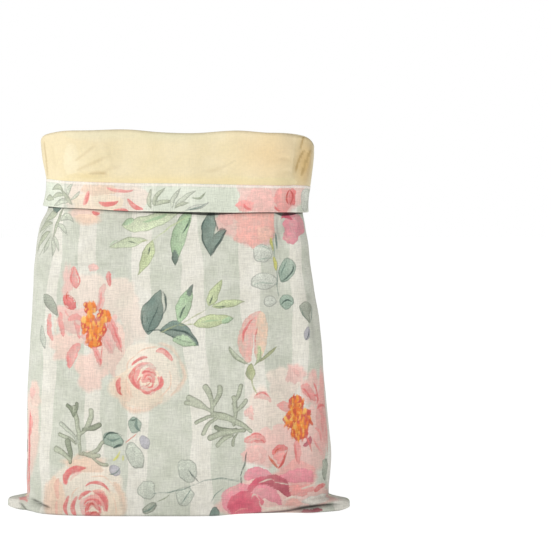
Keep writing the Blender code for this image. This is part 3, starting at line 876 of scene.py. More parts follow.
BODY_CURLS = shapes(
    Curl, "body",
    # Soft foliage under the cuff at the left
    ("frond", (60, 205, 50, 224, 44, 242, 4)),
    ("frond_pale", (54, 222, 64, 217, 72, 225, 7), (50, 226, 58, 228, 65, 237, 6),
     (46, 236, 50, 243, 53, 254, 5), (45, 238, 46, 248, 46, 258, 5)),
    ("frond", (50, 214, 40, 216, 28, 226, 7), (44, 223, 32, 226, 21, 236, 6),
     (42, 232, 30, 240, 21, 256, 6)),
    ("frond_pale", (40, 240, 38, 247, 33, 255, 5)),
    ("leaf_dark", (40, 207, 48, 209, 56, 208, 7)),
    # Spray of long leaves below the cuff
    ("leaf_light", (180, 212, 143, 224, 121, 226, 16)),
    ("leaf_mid", (133, 219, 128, 221, 121, 226, 6)),
    ("leaf_light", (146, 240, 126, 243, 108, 248, 10)),
    ("leaf_lime", (152, 240, 147, 256, 137, 276, 12)),
    ("leaf_mid", (192, 206, 179, 236, 175, 265, 15.5)),
    ("leaf_tip", (174, 250, 175, 258, 175, 267, 6.5)),
    # Folded teal leaf
    ("leaf_dark", (214, 211, 208, 232, 211, 257, 14), (227, 231, 217, 238, 211, 256, 8)),
    # Magenta peony
    ("magenta", (286, 219, 297, 214, 309, 218, 8), (305, 216, 313, 226, 302, 236, 12)),
    # Slips between the salmon peony and the eucalyptus
    ("yellow", (273, 238, 274, 244, 276, 252, 3.4), (277, 257, 278, 264, 280, 272, 4.5)),
    ("leaf_ash", (308, 306, 311, 315, 315, 326, 9)),
    # First peony
    ("pink", (72, 267, 72, 278, 75, 289, 8), (108, 271, 108, 278, 109, 287, 4.5)),
    ("pink_pale", (104, 284, 101, 296, 99, 314, 7)),
    ("coral", (61, 296, 68, 304, 75, 309, 9)),
    ("pink", (46, 315, 44, 328, 48, 342, 6), (57, 313, 58, 326, 61, 338, 6),
     (66, 321, 74, 318, 84, 321, 7), (73, 322, 76, 330, 78, 339, 5)),
    ("pink_pale", (82, 330, 84, 338, 86, 346, 6)),
    ("pink", (106, 316, 113, 330, 121, 353, 8)),
    ("pink_pale", (101, 334, 107, 344, 112, 354, 8)),
    ("pink", (79, 345, 70, 355, 67, 370, 11), (91, 345, 97, 356, 99, 368, 6)),
    # Grey leaf at the left, and the dark leaf pair
    ("leaf_ash", (37, 296, 45, 304, 55, 318, 12)),
    ("leaf_mist", (34, 327, 36, 340, 40, 352, 8)),
    ("leaf_dark", (148, 335, 152, 313, 161, 289, 22), (160, 331, 179, 331, 200, 347, 17)),
    ("leaf_mid", (172, 341, 184, 341, 197, 347, 11)),
    # Light spray in the middle
    ("leaf_mid", (179, 323, 184, 305, 193, 285, 15)),
    ("leaf_tip", (188, 297, 190, 291, 193, 284, 5.5)),
    ("leaf_lime", (209, 307, 214, 294, 223, 279, 11), (212, 307, 228, 304, 247, 302, 8.5),
     (193, 325, 213, 321, 234, 318, 13.5)),
    ("leaf_mid", (222, 324, 227, 321, 235, 318, 6)),
    # First rose
    ("pink_pale", (137, 372, 145, 364, 156, 370, 5)),
    ("pink", (139, 370, 134, 380, 141, 389, 6)),
    ("pink_pale", (142, 386, 150, 392, 157, 384, 6)),
    ("pink", (158, 377, 160, 386, 152, 391, 5), (143, 374, 150, 370, 155, 377, 5),
     (143, 384, 148, 377, 154, 383, 11)),
    # Second rose
    ("pink", (63, 482, 66, 470, 80, 468, 8)),
    ("pink_pale", (82, 513, 82, 498, 92, 494, 6)),
    ("pink", (92, 490, 101, 496, 104, 508, 7), (84, 508, 91, 497, 99, 508, 12)),
    ("coral", (83, 514, 91, 512, 99, 514, 8)),
    # Rosebud
    ("salmon", (262, 313, 247, 336, 250, 363, 17)),
    ("peach", (262, 313, 263, 336, 258, 363, 13)),
    ("frond", (229, 346, 237, 358, 251, 365, 5.5)),
    ("leaf_lime", (258, 346, 261, 356, 254, 368, 5)),
    ("stem", (280, 348, 269, 356, 257, 365, 3.6), (252, 364, 251, 374, 253, 382, 10)),
    # Second peony
    ("pink_pale", (255, 400, 264, 396, 272, 404, 7)),
    ("pink", (279, 407, 287, 408, 295, 415, 8)),
    ("pink_pale", (296, 372, 300, 374, 304, 380, 5)),
    ("pink", (305, 389, 314, 394, 323, 405, 10)),
    ("pink_pale", (318, 372, 322, 380, 324, 392, 6)),
    ("pink", (328, 407, 333, 420, 332, 435, 8), (300, 440, 300, 450, 302, 463, 8)),
    ("pink_pale", (320, 436, 328, 446, 333, 461, 12)),
    ("pink", (299, 441, 300, 451, 301, 462, 7)),
    ("rose_dark", (315, 437, 313, 443, 306, 447, 5)),
    ("pink", (245, 440, 256, 437, 267, 441, 9)),
    ("pink_pale", (258, 446, 264, 452, 262, 462, 7)),
    # Small red-edged bud
    ("coral", (274, 453, 281, 447, 290, 449, 7)),
    # Deep rose
    ("magenta", (244, 476, 258, 470, 274, 478, 12)),
    ("rose_deep", (249, 489, 259, 479, 275, 477, 9)),
    ("rose_dark", (262, 482, 278, 480, 291, 496, 14)),
    ("magenta", (254, 488, 268, 490, 282, 504, 14)),
    ("rose_dark", (302, 512, 314, 511, 327, 510, 5)),
)
STROKE_CURLS = shapes(
    Curl, "stroke",
    # Soft foliage under the cuff at the left
    ("frond_dark", (52, 218, 58, 216, 66, 219, 1), (43, 226, 34, 230, 24, 240, 1),
     (42, 236, 36, 246, 26, 258, 1.1), (48, 228, 55, 231, 62, 236, 0.9)),
    # Red touch on the blush rose
    ("coral", (91, 212, 95, 214, 99, 213, 4)),
    # Spray of long leaves below the cuff
    ("leaf_mid", (142, 222, 156, 219, 168, 213, 3)),
    ("leaf_deep", (127, 242, 131, 242, 136, 243, 1.6)),
    ("leaf_mid", (109, 247, 113, 242, 119, 240, 1)),
    ("leaf_deep", (150, 246, 149, 250, 147, 255, 1.6), (190, 218, 187, 226, 182, 234, 1.8)),
    ("leaf_lime", (190, 216, 172, 226, 152, 241, 1.3)),
    ("stem", (135, 243, 145, 241, 153, 240, 1.3)),
    # Folded teal leaf
    ("leaf_deep", (205, 219, 202, 236, 210, 256, 1.7), (227, 231, 219, 243, 211, 256, 2.4),
     (214, 216, 216, 225, 219, 232, 1.4), (219, 230, 223, 229, 228, 231, 1.4)),
    # Magenta peony
    ("rose_deep", (287, 218, 294, 216, 302, 220, 5)),
    ("pink_pale", (289, 236, 292, 240, 298, 237, 2)),
    # Slips between the salmon peony and the eucalyptus
    ("leaf_dark", (279, 233, 280, 240, 280, 250, 2.6)),
    # First peony
    ("coral", (72, 268, 69, 282, 75, 289, 1.5), (73, 269, 78, 280, 75, 289, 2)),
    ("pink_pale", (73, 277, 74, 281, 74, 286, 1.6)),
    ("coral", (109, 272, 110, 279, 109, 287, 1.8)),
    ("pink", (101, 292, 100, 300, 98, 310, 2.4)),
    ("red", (60, 297, 64, 307, 74, 310, 1.6), (62, 295, 71, 299, 75, 308, 1.5)),
    ("salmon", (65, 300, 69, 302, 72, 307, 1.4)),
    ("rust", (66, 292, 64, 297, 65, 301, 1.6)),
    ("pink", (63, 310, 64, 314, 68, 318, 1.8)),
    ("petal_cream", (51, 318, 51, 328, 52, 337, 3.6)),
    ("coral", (43, 320, 42, 328, 44, 336, 1.3), (111, 322, 116, 336, 121, 350, 2)),
    ("pink", (106, 340, 108, 346, 112, 352, 1.6)),
    ("pink_pale", (76, 350, 72, 357, 70, 364, 2.6)),
    ("coral", (66, 356, 65, 362, 67, 369, 1.6), (93, 350, 98, 358, 100, 367, 1.6),
     (101, 344, 101, 356, 100, 368, 1.4)),
    # Grey leaf at the left, and the dark leaf pair
    ("leaf_deep", (146, 334, 153, 318, 160, 302, 1.2), (161, 290, 166, 303, 161, 318, 2),
     (143, 312, 142, 322, 148, 333, 1.2), (152, 319, 155, 314, 160, 312, 0.9),
     (150, 325, 147, 320, 146, 314, 0.9), (144, 332, 158, 330, 171, 330, 1.6),
     (165, 331, 184, 332, 199, 345, 2.2), (160, 331, 178, 339, 196, 344, 1.1)),
    # Light spray in the middle
    ("leaf_deep", (179, 319, 182, 312, 186, 305, 2), (210, 306, 211, 300, 213, 295, 1.5),
     (214, 306, 221, 307, 229, 306, 1.3)),
    ("leaf_mid", (200, 323, 212, 321, 222, 320, 1.6)),
    ("stem", (160, 333, 168, 329, 178, 325, 1.3), (178, 325, 194, 317, 209, 307, 1.2),
     (178, 325, 188, 325, 198, 323, 1.2)),
    # First rose
    ("pink", (156, 352, 165, 353, 172, 362, 4.8)),
    ("coral", (156, 351, 165, 350, 173, 361, 1.8), (131, 366, 138, 360, 148, 357, 3.2)),
    ("pink", (133, 371, 140, 365, 149, 363, 3)),
    ("coral", (136, 367, 131, 379, 141, 391, 5.2), (139, 389, 146, 393, 152, 389, 3.2),
     (161, 376, 160, 386, 151, 391, 4.2), (140, 376, 147, 371, 156, 376, 2.6),
     (141, 377, 138, 383, 143, 388, 2.2), (143, 381, 147, 375, 153, 379, 1.8),
     (153, 380, 151, 387, 144, 386, 2)),
    ("red", (146, 380, 150, 379, 150, 383, 1.6), (150, 383, 147, 385, 146, 382, 1.2)),
    ("petal_cream", (140, 378, 143, 370, 153, 372, 1.1), (141, 381, 141, 387, 147, 389, 1),
     (156, 379, 157, 385, 152, 388, 1), (145, 378, 149, 377, 152, 380, 0.8)),
    ("coral", (120, 378, 117, 386, 121, 396, 4.6)),
    ("red", (120, 387, 119, 392, 122, 396, 2.2)),
    ("peach", (128, 374, 126, 388, 137, 400, 1.5), (168, 370, 170, 385, 157, 399, 1.5),
     (136, 354, 148, 348, 160, 347, 1.5), (126, 372, 128, 362, 136, 355, 1.5)),
    # Second rose
    ("coral", (63, 481, 67, 469, 85, 465, 6.5)),
    ("blush", (68, 479, 73, 472, 81, 469, 2.8)),
    ("coral", (84, 483, 97, 479, 110, 490, 3.2)),
    ("pink", (93, 487, 101, 487, 107, 494, 1.6)),
    ("coral", (65, 514, 63, 502, 67, 492, 4.2), (74, 516, 71, 504, 75, 493, 5),
     (77, 497, 82, 490, 90, 488, 4), (91, 488, 102, 493, 106, 509, 5.8),
     (84, 510, 85, 499, 92, 496, 3.8), (91, 496, 98, 500, 98, 512, 3.6)),
    ("red", (86, 508, 90, 500, 96, 506, 2.2), (88, 513, 93, 508, 98, 512, 2)),
    ("petal_cream", (84, 512, 83, 502, 90, 497, 1.1), (88, 510, 90, 503, 95, 508, 1),
     (97, 500, 101, 506, 100, 514, 1.1)),
    ("apricot", (54, 498, 53, 506, 54, 515, 3.4), (55, 476, 53, 486, 55, 497, 5.5)),
    ("peach", (78, 484, 70, 492, 69, 506, 1.4), (110, 492, 115, 502, 113, 514, 1.6),
     (88, 474, 104, 474, 114, 486, 1.6)),
    # Rosebud
    ("coral", (243, 344, 246, 329, 256, 318, 2.6)),
    ("pink_pale", (250, 352, 250, 341, 255, 330, 2.4)),
    ("coral", (256, 356, 256, 340, 259, 326, 1.6)),
    ("frond_dark", (229, 346, 236, 359, 250, 366, 1.4), (259, 347, 262, 356, 256, 366, 1.3),
     (247, 368, 248, 375, 252, 381, 1.4)),
    ("stem", (253, 380, 254, 388, 258, 396, 1.8)),
    # Second peony
    ("coral", (255, 398, 265, 394, 272, 402, 1.7), (306, 391, 313, 396, 318, 406, 2),
     (319, 385, 325, 394, 328, 405, 2), (320, 399, 326, 401, 325, 408, 2.6),
     (325, 413, 332, 409, 340, 412, 2.8)),
    ("pink", (328, 418, 334, 420, 336, 427, 2.8), (320, 430, 327, 435, 329, 444, 3.6),
     (337, 420, 340, 438, 338, 458, 2)),
    ("coral", (311, 436, 313, 444, 317, 453, 2.4), (298, 444, 298, 452, 300, 461, 2)),
    ("pink", (318, 438, 322, 447, 330, 454, 2.2)),
    ("coral", (246, 438, 256, 433, 266, 437, 1.6), (253, 441, 262, 439, 266, 443, 1.6)),
    ("blush_pale", (248, 441, 254, 438, 262, 439, 1.2)),
    # Small red-edged bud
    ("rust", (269, 453, 274, 461, 280, 467, 2.7)),
    ("red", (279, 467, 285, 459, 289, 449, 2.7)),
    ("rust", (276, 454, 278, 449, 284, 447, 1.4)),
    ("pink_pale", (279, 460, 283, 458, 285, 454, 1.3)),
    # Deep rose
    ("petal_cream", (251, 497, 255, 491, 260, 500, 1.7), (259, 499, 266, 507, 283, 504, 1.9),
     (258, 481, 268, 477, 276, 479, 1.4), (275, 480, 284, 481, 292, 484, 1.3)),
    ("pink_pale", (256, 488, 264, 486, 272, 490, 1.2), (226, 492, 234, 484, 246, 484, 1.8)),
    ("pink", (233, 513, 240, 508, 248, 507, 1.5)),
    ("petal_cream", (303, 487, 314, 486, 325, 480, 2.2)),
    ("coral", (319, 491, 327, 488, 337, 486, 6)),
    ("petal_cream", (284, 500, 292, 496, 300, 498, 2.4), (262, 511, 276, 508, 292, 509, 4)),
)
STROKE_DABS = shapes(
    Dab, "stroke",
    # Eucalyptus stalks and veins at the right
    ("leaf_teal", (277, 232, 279, 262, 1.6, 0.05)),
    ("leaf_dark", (281, 262, 282, 300, 1.2, 0.02)),
    ("leaf_teal", (256, 248, 274, 254, 1.2, -0.2), (258, 261, 276, 260, 1.2, -0.1),
     (253, 286, 280, 286, 1.2, -0.1)),
    ("leaf_deep", (284, 282, 298, 262, 1.8, 0.2)),
    ("leaf_dark", (285, 278, 292, 262, 1.4, -0.1)),
    ("leaf_deep", (284, 306, 297, 305, 1.8, -0.3)),
    ("leaf_dark", (304, 306, 314, 324, 1.2, 0.1), (319, 308, 315, 325, 1.4, -0.1)),
    ("leaf_deep", (310, 343, 314, 330, 1.2, 0.1)),
    # Stalks and veins of the small leaves
    ("leaf_deep", (101, 440, 122, 435, 1.8, -0.3)),
    ("leaf_dark", (104, 436, 120, 436, 2.2, 0.14)),
    ("leaf_deep", (112, 446, 122, 443, 2, -0.1)),
    ("leaf_dark", (136, 417, 141, 431, 2.8, 0.2)),
    ("leaf_deep", (128, 419, 136, 416, 1.4, 0.2)),
    ("rust", (124, 441, 136, 432, 1.2, 0)),
    ("yellow", (112, 458, 119, 448, 2.6, 0.1), (122, 458, 123, 452, 2, 0)),
    ("leaf_dark", (106, 470, 120, 463, 1.6, 0.2), (142, 508, 156, 499, 1.8, 0.1)),
    ("frond_dark", (156, 498, 170, 488, 1.2, 0.1)),
    ("leaf_dark", (152, 489, 198, 479, 1.2, 0.06), (198, 479, 243, 480, 1.4, -0.1)),
    ("leaf_deep", (187, 466, 199, 479, 1.6, 0)),
    ("leaf_dark", (192, 484, 180, 500, 1.2, 0)),
    ("leaf_deep", (247, 449, 240, 474, 1.6, -0.04), (240, 472, 242, 482, 1.4, 0)),
    ("leaf_dark", (224, 484, 210, 500, 1, 0.1)),
)
STAMENS = table(
    Stamens,
    (90, 309, 7, 6, 7, 1.3),
    (103, 317, 7, 7, 8, 1.3),
    (89, 325, 9, 10, 13, 1.3),
    (100, 328, 6, 7, 7, 1.3),
    (93, 340, 8, 8, 9, 1.3),
    (300, 406, 9, 8, 14, 1.05),
    (302, 421, 15.5, 11, 36, 1.05),
    (303, 433, 10, 8, 14, 1.05),
)
BACK_PRINT = WASH_PATCHES + WASH_CURLS + FRONDS + BODY_PATCHES + BODY_CURLS + STROKE_CURLS
BACK_PRINT += STROKE_DABS + STAMENS

# Petals of a flower that the left side seam cuts, on the front panel alone
SIDE_WASHES = shapes(
    Patch, "wash",
    ("blush", (22, 398, 12, 14, 0, 0.15), (20, 436, 12, 34, 0, 0.15), (4, 428, 12, 30, 0, 0.2)),
    ("pink_pale", (2, 470, 14, 34, 0, 0.2)),
)
SIDE_PATCHES = shapes(
    Patch, "body",
    ("pink_pale", (18, 396, 6, 6, 0, 0.2)),
    ("pink", (16, 428, 5, 9, 0, 0.2)),
    ("pink_pale", (4, 448, 8, 12, 16, 0.2)),
    ("pink", (3, 476, 7, 18, -8, 0.2)),
)
SIDE_CURLS = shapes(
    Curl, "body",
    ("coral", (13, 412, 15, 454, 12, 503, 4)),
    ("pink", (-8, 501, 0, 501, 11, 503, 3)),
)
FRONT_PRINT = SIDE_WASHES + SIDE_PATCHES + SIDE_CURLS + BACK_PRINT

# The hem band's own piece of the same print
BAND_WASHES = shapes(
    Patch, "wash",
    ("mint", (196, 198, 58, 26, 0, 0.05), (40, 198, 20, 26, 0, 0.05)),
    ("blush_pale", (104, 198, 44, 22, 0, 0.06)),
    ("peach_pale", (96, 204, 26, 12, 0, 0.1)),
    ("peach", (98, 188, 18, 8, 0, 0.1)),
    ("pink_pale", (278, 196, 42, 22, 0, 0.12)),
)
BAND_PATCHES = shapes(
    Patch, "body",
    ("pink_pale", (262, 200, 14, 14, 0, 0.12)),
    ("pink", (288, 200, 12, 14, 0, 0.12), (246, 206, 9, 6, 0, 0.14)),
    ("coral", (300, 198, 6, 9, 0, 0.1)),
    ("leaf_grey", (322, 200, 9, 12, 0, 0.1)),
)
BAND_CURLS = shapes(
    Curl, "body",
    ("frond", (71, 206, 62, 196, 50, 184, 4)),
    ("frond_pale", (64, 196, 66, 189, 72, 182, 5)),
    ("frond", (58, 190, 50, 187, 40, 190, 6)),
    ("frond_pale", (66, 202, 56, 202, 44, 207, 6)),
    ("frond", (60, 196, 50, 195, 42, 199, 5), (46, 200, 36, 198, 28, 200, 6)),
    ("frond_pale", (68, 200, 74, 196, 78, 190, 4)),
    ("frond", (151, 209, 149, 198, 152, 188, 5), (154, 207, 157, 196, 166, 187, 5),
     (154, 206, 163, 202, 174, 201, 5)),
    ("frond_pale", (172, 209, 174, 198, 182, 187, 5), (175, 207, 184, 198, 197, 190, 5)),
    ("frond", (174, 209, 182, 204, 190, 203, 4)),
)
BAND_CURL_STROKES = shapes(
    Curl, "stroke",
    ("frond_dark", (154, 206, 158, 197, 165, 190, 1), (62, 196, 54, 190, 44, 189, 1)),
)
BAND_DABS = shapes(
    Dab, "body",
    ("leaf_grey", (186, 209, 210, 202, 5, 0.06)),
)
BAND_DAB_STROKES = shapes(
    Dab, "stroke",
    ("pink", (82, 205, 88, 191, 5, 0.06)),
    ("coral", (84, 203, 88, 193, 2.2, 0.06), (98, 202, 118, 201, 5, 0.16)),
    ("pink", (106, 187, 133, 190, 3.4, 0.1)),
    ("coral", (127, 199, 143, 210, 5, 0.1), (110, 213, 128, 211, 4, -0.1)),
    ("leaf_dark", (184, 210, 206, 203, 1.4, 0.1)),
    ("frond_dark", (192, 198, 206, 192, 2.6, 0.2)),
    ("red", (296, 190, 296, 206, 3, 0.3), (296, 190, 297, 206, 3, -0.3)),
    ("coral", (244, 204, 252, 209, 3, 0.2), (276, 205, 284, 211, 2.4, 0.2)),
)
BAND_PRINT = BAND_WASHES + BAND_PATCHES + BAND_CURLS + BAND_DABS + BAND_CURL_STROKES
BAND_PRINT += BAND_DAB_STROKES

# Where the artwork lies on each panel; the back's is cut from another part of the cloth.
FRONT_REPEATS = ((0.0, 0.0),)
BACK_REPEATS = ((178.0, -250.0), (-166.0, -250.0), (178.0, 62.0), (-166.0, 62.0))

# Painted shade close under the cuff: how far down, in millimetres, at places across.
Shade = namedtuple("Shade", "x depth")
BAND_SHADES = table(
    Shade,
    (-150, 0.9),
    (-128, 1.6),
    (-118, 0.7),
    (-40, 0.8),
    (-22, 1.7),
    (10, 2.4),
    (34, 3.3),
    (50, 1.6),
    (64, 1.1),
    (96, 1.2),
    (102, 3.6),
    (112, 2.6),
    (119, 1),
    (150, 0.8),
)

# Deep creases of the front wall get painted shade; the last column is how much.
SHADE_LINES = table(
    Crease,
    (-159, 8.5, -154, 4.5, -149, -1, 0.9, 0.6),
    (-146, 15, -133, 10.2, -120, 6.5, 1.1, 0.75),
    (106, 4.5, 136, 7.2, 166, 6.4, 1.3, 0.8),
    (112, 2, 128, 4, 146, 3.6, 2.6, 0.35),
    (62, 1.5, 94, 3.2, 124, 6.4, 1.6, 0.8),
    (126.5, 228, 131.5, 190, 137, 140, 2.6, 0.18),
    (100, 292, 97.8, 282, 104, 260, 1.3, 0.32),
    (-112, 247, -80, 246, -40, 248, 1.2, 0.08),
)
# Painted light: the hem band is made lighter than the wall
BAND_PAINTED_LIGHT = 1.06
# Painted shade darker towards the foot, a painted contact shadow along the bottom edge, and the most
# painted shade a crease gets
FOOT_SHADE = 0.22
FOOT_FADE = 38.0
EDGE_SHADE = 0.4
EDGE_HALF = 1.5
SHADE_MOST = 0.9

# A painted highlight along the hem's top edge, and the row of stitches under it
HEM_HIGHLIGHT_HALF = 1.2
HEM_HIGHLIGHT_BELOW = 0.8
STITCH_BELOW = 3.2
STITCH_HALF = 0.38
STITCH_PITCH = 2.8
STITCH_SHARE = 0.32

# Shapes that are pointed at both ends: where along it the widest place lies (below 1 nearer
# the start), how sharp the points are, and how much darker one side and the far end get.
Look = namedtuple("Look", "lean power turned far")
DAB_STROKE = Look(0.9, 0.45, 0.08, 0.1)
DAB_LEAF = Look(0.78, 1.15, 0.22, 0.1)
CURL_LEAF = Look(0.85, 0.95, 0.16, 0.08)
CURL_PETAL = Look(0.9, 0.5, 0.07, 0.08)

# Curls: their divisions, how much they swell and how ragged they are along their length,
# and where these waves start, from the curl's place
CURL_STEPS = 12
CURL_SWELL = 0.06
CURL_SWELL_PACE = 9.0
CURL_RAG = 0.03
CURL_RAG_PACE = 23.0
CURL_START = (0.7, 0.3)

# Fronds: their width at the foot, where they are full, and their darker edge
FROND_FOOT = 0.62
FROND_FULL = 0.75
FROND_RIM = 0.6
FROND_RIM_HALF = 0.9
FROND_RIM_SHADE = 0.32
FROND_FAR_SHADE = 0.06

# Patches: size, number and turn of the waves round an edge, where they start, from the
# patch's place, the shade in the middle, how much lighter the top is and darker the foot,
# and how far round a patch its paint is worked out
PATCH_WAVES = ((0.6, 3.0, 1.0), (0.4, 5.0, 1.7), (0.3, 8.0, 2.9))
PATCH_START = (0.37, 0.61)
PATCH_LIT = 1.04
PATCH_LOW_SHADE = 0.1
PATCH_REACH = 1.3
PATCH_MARGIN = 4.0

# Stamens: middle, change and pace of the drops' widths, heights and leans, their tones, and
# how uneven they and their ground are
GOLDEN_ANGLE = 2.39996
DROP_WIDTH = (1.5, 0.5, 2.3)
DROP_HEIGHT = (2.8, 0.8, 1.7)
DROP_LEAN = (0.0, 34.0, 3.1)
DROP_TONES = ("orange", "amber", "gold", "red", "orange", "amber", "rust")
DROP_WOBBLE = 0.1
GROUND_WOBBLE = 0.08

# Drops with a lit spot: one in how many, then how far aside, how wide and how tall the spot
# is beside its drop
LIT_EVERY = 3
LIT_ASIDE = 0.4
LIT_WIDE = 0.3
LIT_TALL = 0.6

# A slight waver of every edge: how far it goes, and then the length of its waves, how much
# they bend and the length of the bends, for the places across and for those down
WAVER = 0.35
WAVER_ACROSS = (2.4, 1.7, 6.1)
WAVER_DOWN = (2.7, 1.3, 5.7)

# How far round a line its paint is worked out
NEAR_MARGIN = 3.0


def linear(tone):
    """Linear colour of a named tone, by the usual formula for screen colours."""
    values = np.array(TONES[tone], float) / 255.0
    return np.where(values <= 0.04045, values / 12.92, ((values + 0.055) / 1.055) ** 2.4)


class Layer:
    """One layer of paint: a colour at each point, and how far inside the paint it is."""

    def __init__(self, count):
        self.colour = np.tile(linear("sage"), (count, 1))
        self.field = np.full(count, -FIELD_RANGE / 2.0)

    def lay(self, points, field, colour):
        """Lay a shape over what is there."""
        old = self.field[points]
        over = (field > 0.0) | ((field > old) & (old < 0.0))
        self.colour[points[over]] = colour[over] if colour.ndim == 2 else colour
        self.field[points] = np.maximum(old, field)


def waver(along, across, length, bend, bend_length):
    """A slight waver, so that no edge looks ruled."""
    return WAVER * np.sin(along / length + bend * np.sin(across / bend_length))


def wave_start(x, y, shares):
    """Where the waves of a shape's edge start, so that no two shapes look alike."""
    return x * shares[0] + y * shares[1]


def pointed(part, look):
    """Width profile of a shape that is pointed at both ends."""
    return np.sin(math.pi * part**look.lean) ** look.power


def varied(values, i):
    """A measure that changes from one drop to the next."""
    middle, change, pace = values
    return middle + change * math.sin(pace * i)


class Artwork:
    """Paints motifs on the points of one piece of cloth."""

    def __init__(self, x, y, layers, used):
        self.x = x + waver(y, x, *WAVER_ACROSS)
        self.y = y + waver(x, y, *WAVER_DOWN)
        self.layers = layers
        self.used = np.nonzero(used)[0]

    def paint(self, print_shapes):
        ways = {
            Patch: self.patch,
            Curl: self.curl,
            Dab: self.dab,
            Frond: self.frond,
            Stamens: self.stamens,
        }
        for shape in print_shapes:
            ways[type(shape)](shape)

    def lay(self, shape, points, field, shade):
        """Lay a shape in its tone, which the shade makes lighter or darker."""
        colour = linear(shape.tone) * shade[:, None]
        self.layers[shape.layer].lay(points, field, np.clip(colour, 0.0, 1.0))

    def near(self, left, top, right, bottom, margin):
        """The points that lie in a box or within a margin of it."""
        x = self.x[self.used]
        y = self.y[self.used]
        inside = (x > left - margin) & (x < right + margin)
        inside &= (y > top - margin) & (y < bottom + margin)
        return self.used[inside]

    def beside_line(self, line):
        """Points near a bent line: how far along it each lies, aside of it, and away from it."""
        reach = math.hypot(line.x1 - line.x0, line.y1 - line.y0)
        left, right = sorted((line.x0, line.x1))
        top, bottom = sorted((line.y0, line.y1))
        margin = line.width + abs(line.bend) * reach + NEAR_MARGIN
        points = self.near(left, top, right, bottom, margin)
        along_x = (line.x1 - line.x0) / reach
        along_y = (line.y1 - line.y0) / reach
        dx = self.x[points] - line.x0
        dy = self.y[points] - line.y0
        travel = (dx * along_x + dy * along_y) / reach
        part = np.clip(travel, 0.0, 1.0)
        bent = 4.0 * line.bend * reach * part * (1.0 - part)
        aside = dy * along_x - dx * along_y - bent
        return points, part, aside, np.hypot(aside, np.abs(travel - part) * reach)

    def dab(self, dab):
        """A leaf or stroke, pointed at its ends, paler along one side."""
        look = DAB_STROKE if dab.layer == "stroke" else DAB_LEAF
        points, part, aside, away = self.beside_line(dab)
        half = dab.width / 2.0
        turned = np.clip(aside / half, -1.0, 1.0)
        shade = 1.0 - look.turned * turned - look.far * part
        self.lay(dab, points, half * pointed(part, look) - away, shade)

    def frond(self, frond):
        """A branch or lobe with round ends, darker along one edge."""
        points, part, aside, away = self.beside_line(frond)
        full = FROND_FOOT + (1.0 - FROND_FOOT) * smooth_steps(part / FROND_FULL)
        field = frond.width / 2.0 * full - away
        edge = np.exp(-(((field - FROND_RIM) / FROND_RIM_HALF) ** 2))
        side = smooth_steps(0.5 + aside / frond.width)
        shade = 1.0 - FROND_RIM_SHADE * edge * side - FROND_FAR_SHADE * part
        self.lay(frond, points, field, shade)

    def patch(self, patch):
        """A patch of paint with an uneven edge."""
        margin = max(patch.half_x, patch.half_y) * PATCH_REACH + PATCH_MARGIN
        points = self.near(patch.x, patch.y, patch.x, patch.y, margin)
        lean = math.radians(patch.turn)
        dx = self.x[points] - patch.x
        dy = self.y[points] - patch.y
        across = (dx * math.cos(lean) + dy * math.sin(lean)) / patch.half_x
        down = (dy * math.cos(lean) - dx * math.sin(lean)) / patch.half_y
        angle = np.arctan2(down, across)
        start = wave_start(patch.x, patch.y, PATCH_START)
        wave = sum(size * np.sin(count * angle + turn * start) for size, count, turn in PATCH_WAVES)
        field = (1.0 + patch.wobble * wave - np.hypot(across, down)) * min(patch.half_x, patch.half_y)
        self.lay(patch, points, field, PATCH_LIT - PATCH_LOW_SHADE * np.clip(down, -1.0, 1.0))

    def curl(self, curl):
        """A leaf, petal or stroke along a curve through three points."""
        path = curve_path(curl[1:7], CURL_STEPS)
        points = self.near(*path.min(axis=0), *path.max(axis=0), curl.width + NEAR_MARGIN)
        nearest, part, side = beside_path(path, self.x[points], self.y[points])
        leafy = curl.tone.startswith(("leaf", "frond", "stem")) and curl.layer == "body"
        look = CURL_LEAF if leafy else CURL_PETAL
        half = curl.width / 2.0
        start = wave_start(curl.x0, curl.y0, CURL_START)
        uneven = 1.0 + CURL_SWELL * np.sin(CURL_SWELL_PACE * part + start)
        uneven += CURL_RAG * side * np.sin(CURL_RAG_PACE * part + start)
        turned = np.clip(side * nearest / half, -1.0, 1.0)
        shade = 1.0 - look.turned * turned - look.far * part
        self.lay(curl, points, half * pointed(part, look) * uneven - nearest, shade)

    def stamens(self, cluster):
        """A cluster of short amber and gold drops over a rusty ground."""
        self.patch(Patch("body", *cluster[:4], 0, GROUND_WOBBLE, "rust"))
        for i in range(cluster.count):
            share = math.sqrt((i + 0.5) / cluster.count)
            angle = GOLDEN_ANGLE * i + cluster.x
            x = cluster.x + share * cluster.half_x * math.cos(angle)
            y = cluster.y + share * cluster.half_y * math.sin(angle)
            wide = varied(DROP_WIDTH, i) * cluster.size
            tall = varied(DROP_HEIGHT, i) * cluster.size
            lean = varied(DROP_LEAN, i)
            tone = DROP_TONES[i % len(DROP_TONES)]
            self.patch(Patch("stroke", x, y, wide, tall, lean, DROP_WOBBLE, tone))
            if i % LIT_EVERY == 0:
                spot = (x - LIT_ASIDE * wide, y, LIT_WIDE * wide, LIT_TALL * tall)
                self.patch(Patch("stroke", *spot, lean, DROP_WOBBLE, "gold"))


def across_cloth(points, side):
    """How far each point of a row lies across the flat cloth from its middle."""
    step = np.hypot(np.diff(points[:, 0]), np.diff(points[:, 1]))
    travel = np.concatenate([[0.0], np.cumsum(step)])
    middle = np.interp(0.0, points[:, 0], travel)
    return (travel - middle) * (1.0 if side == "front" else -1.0)


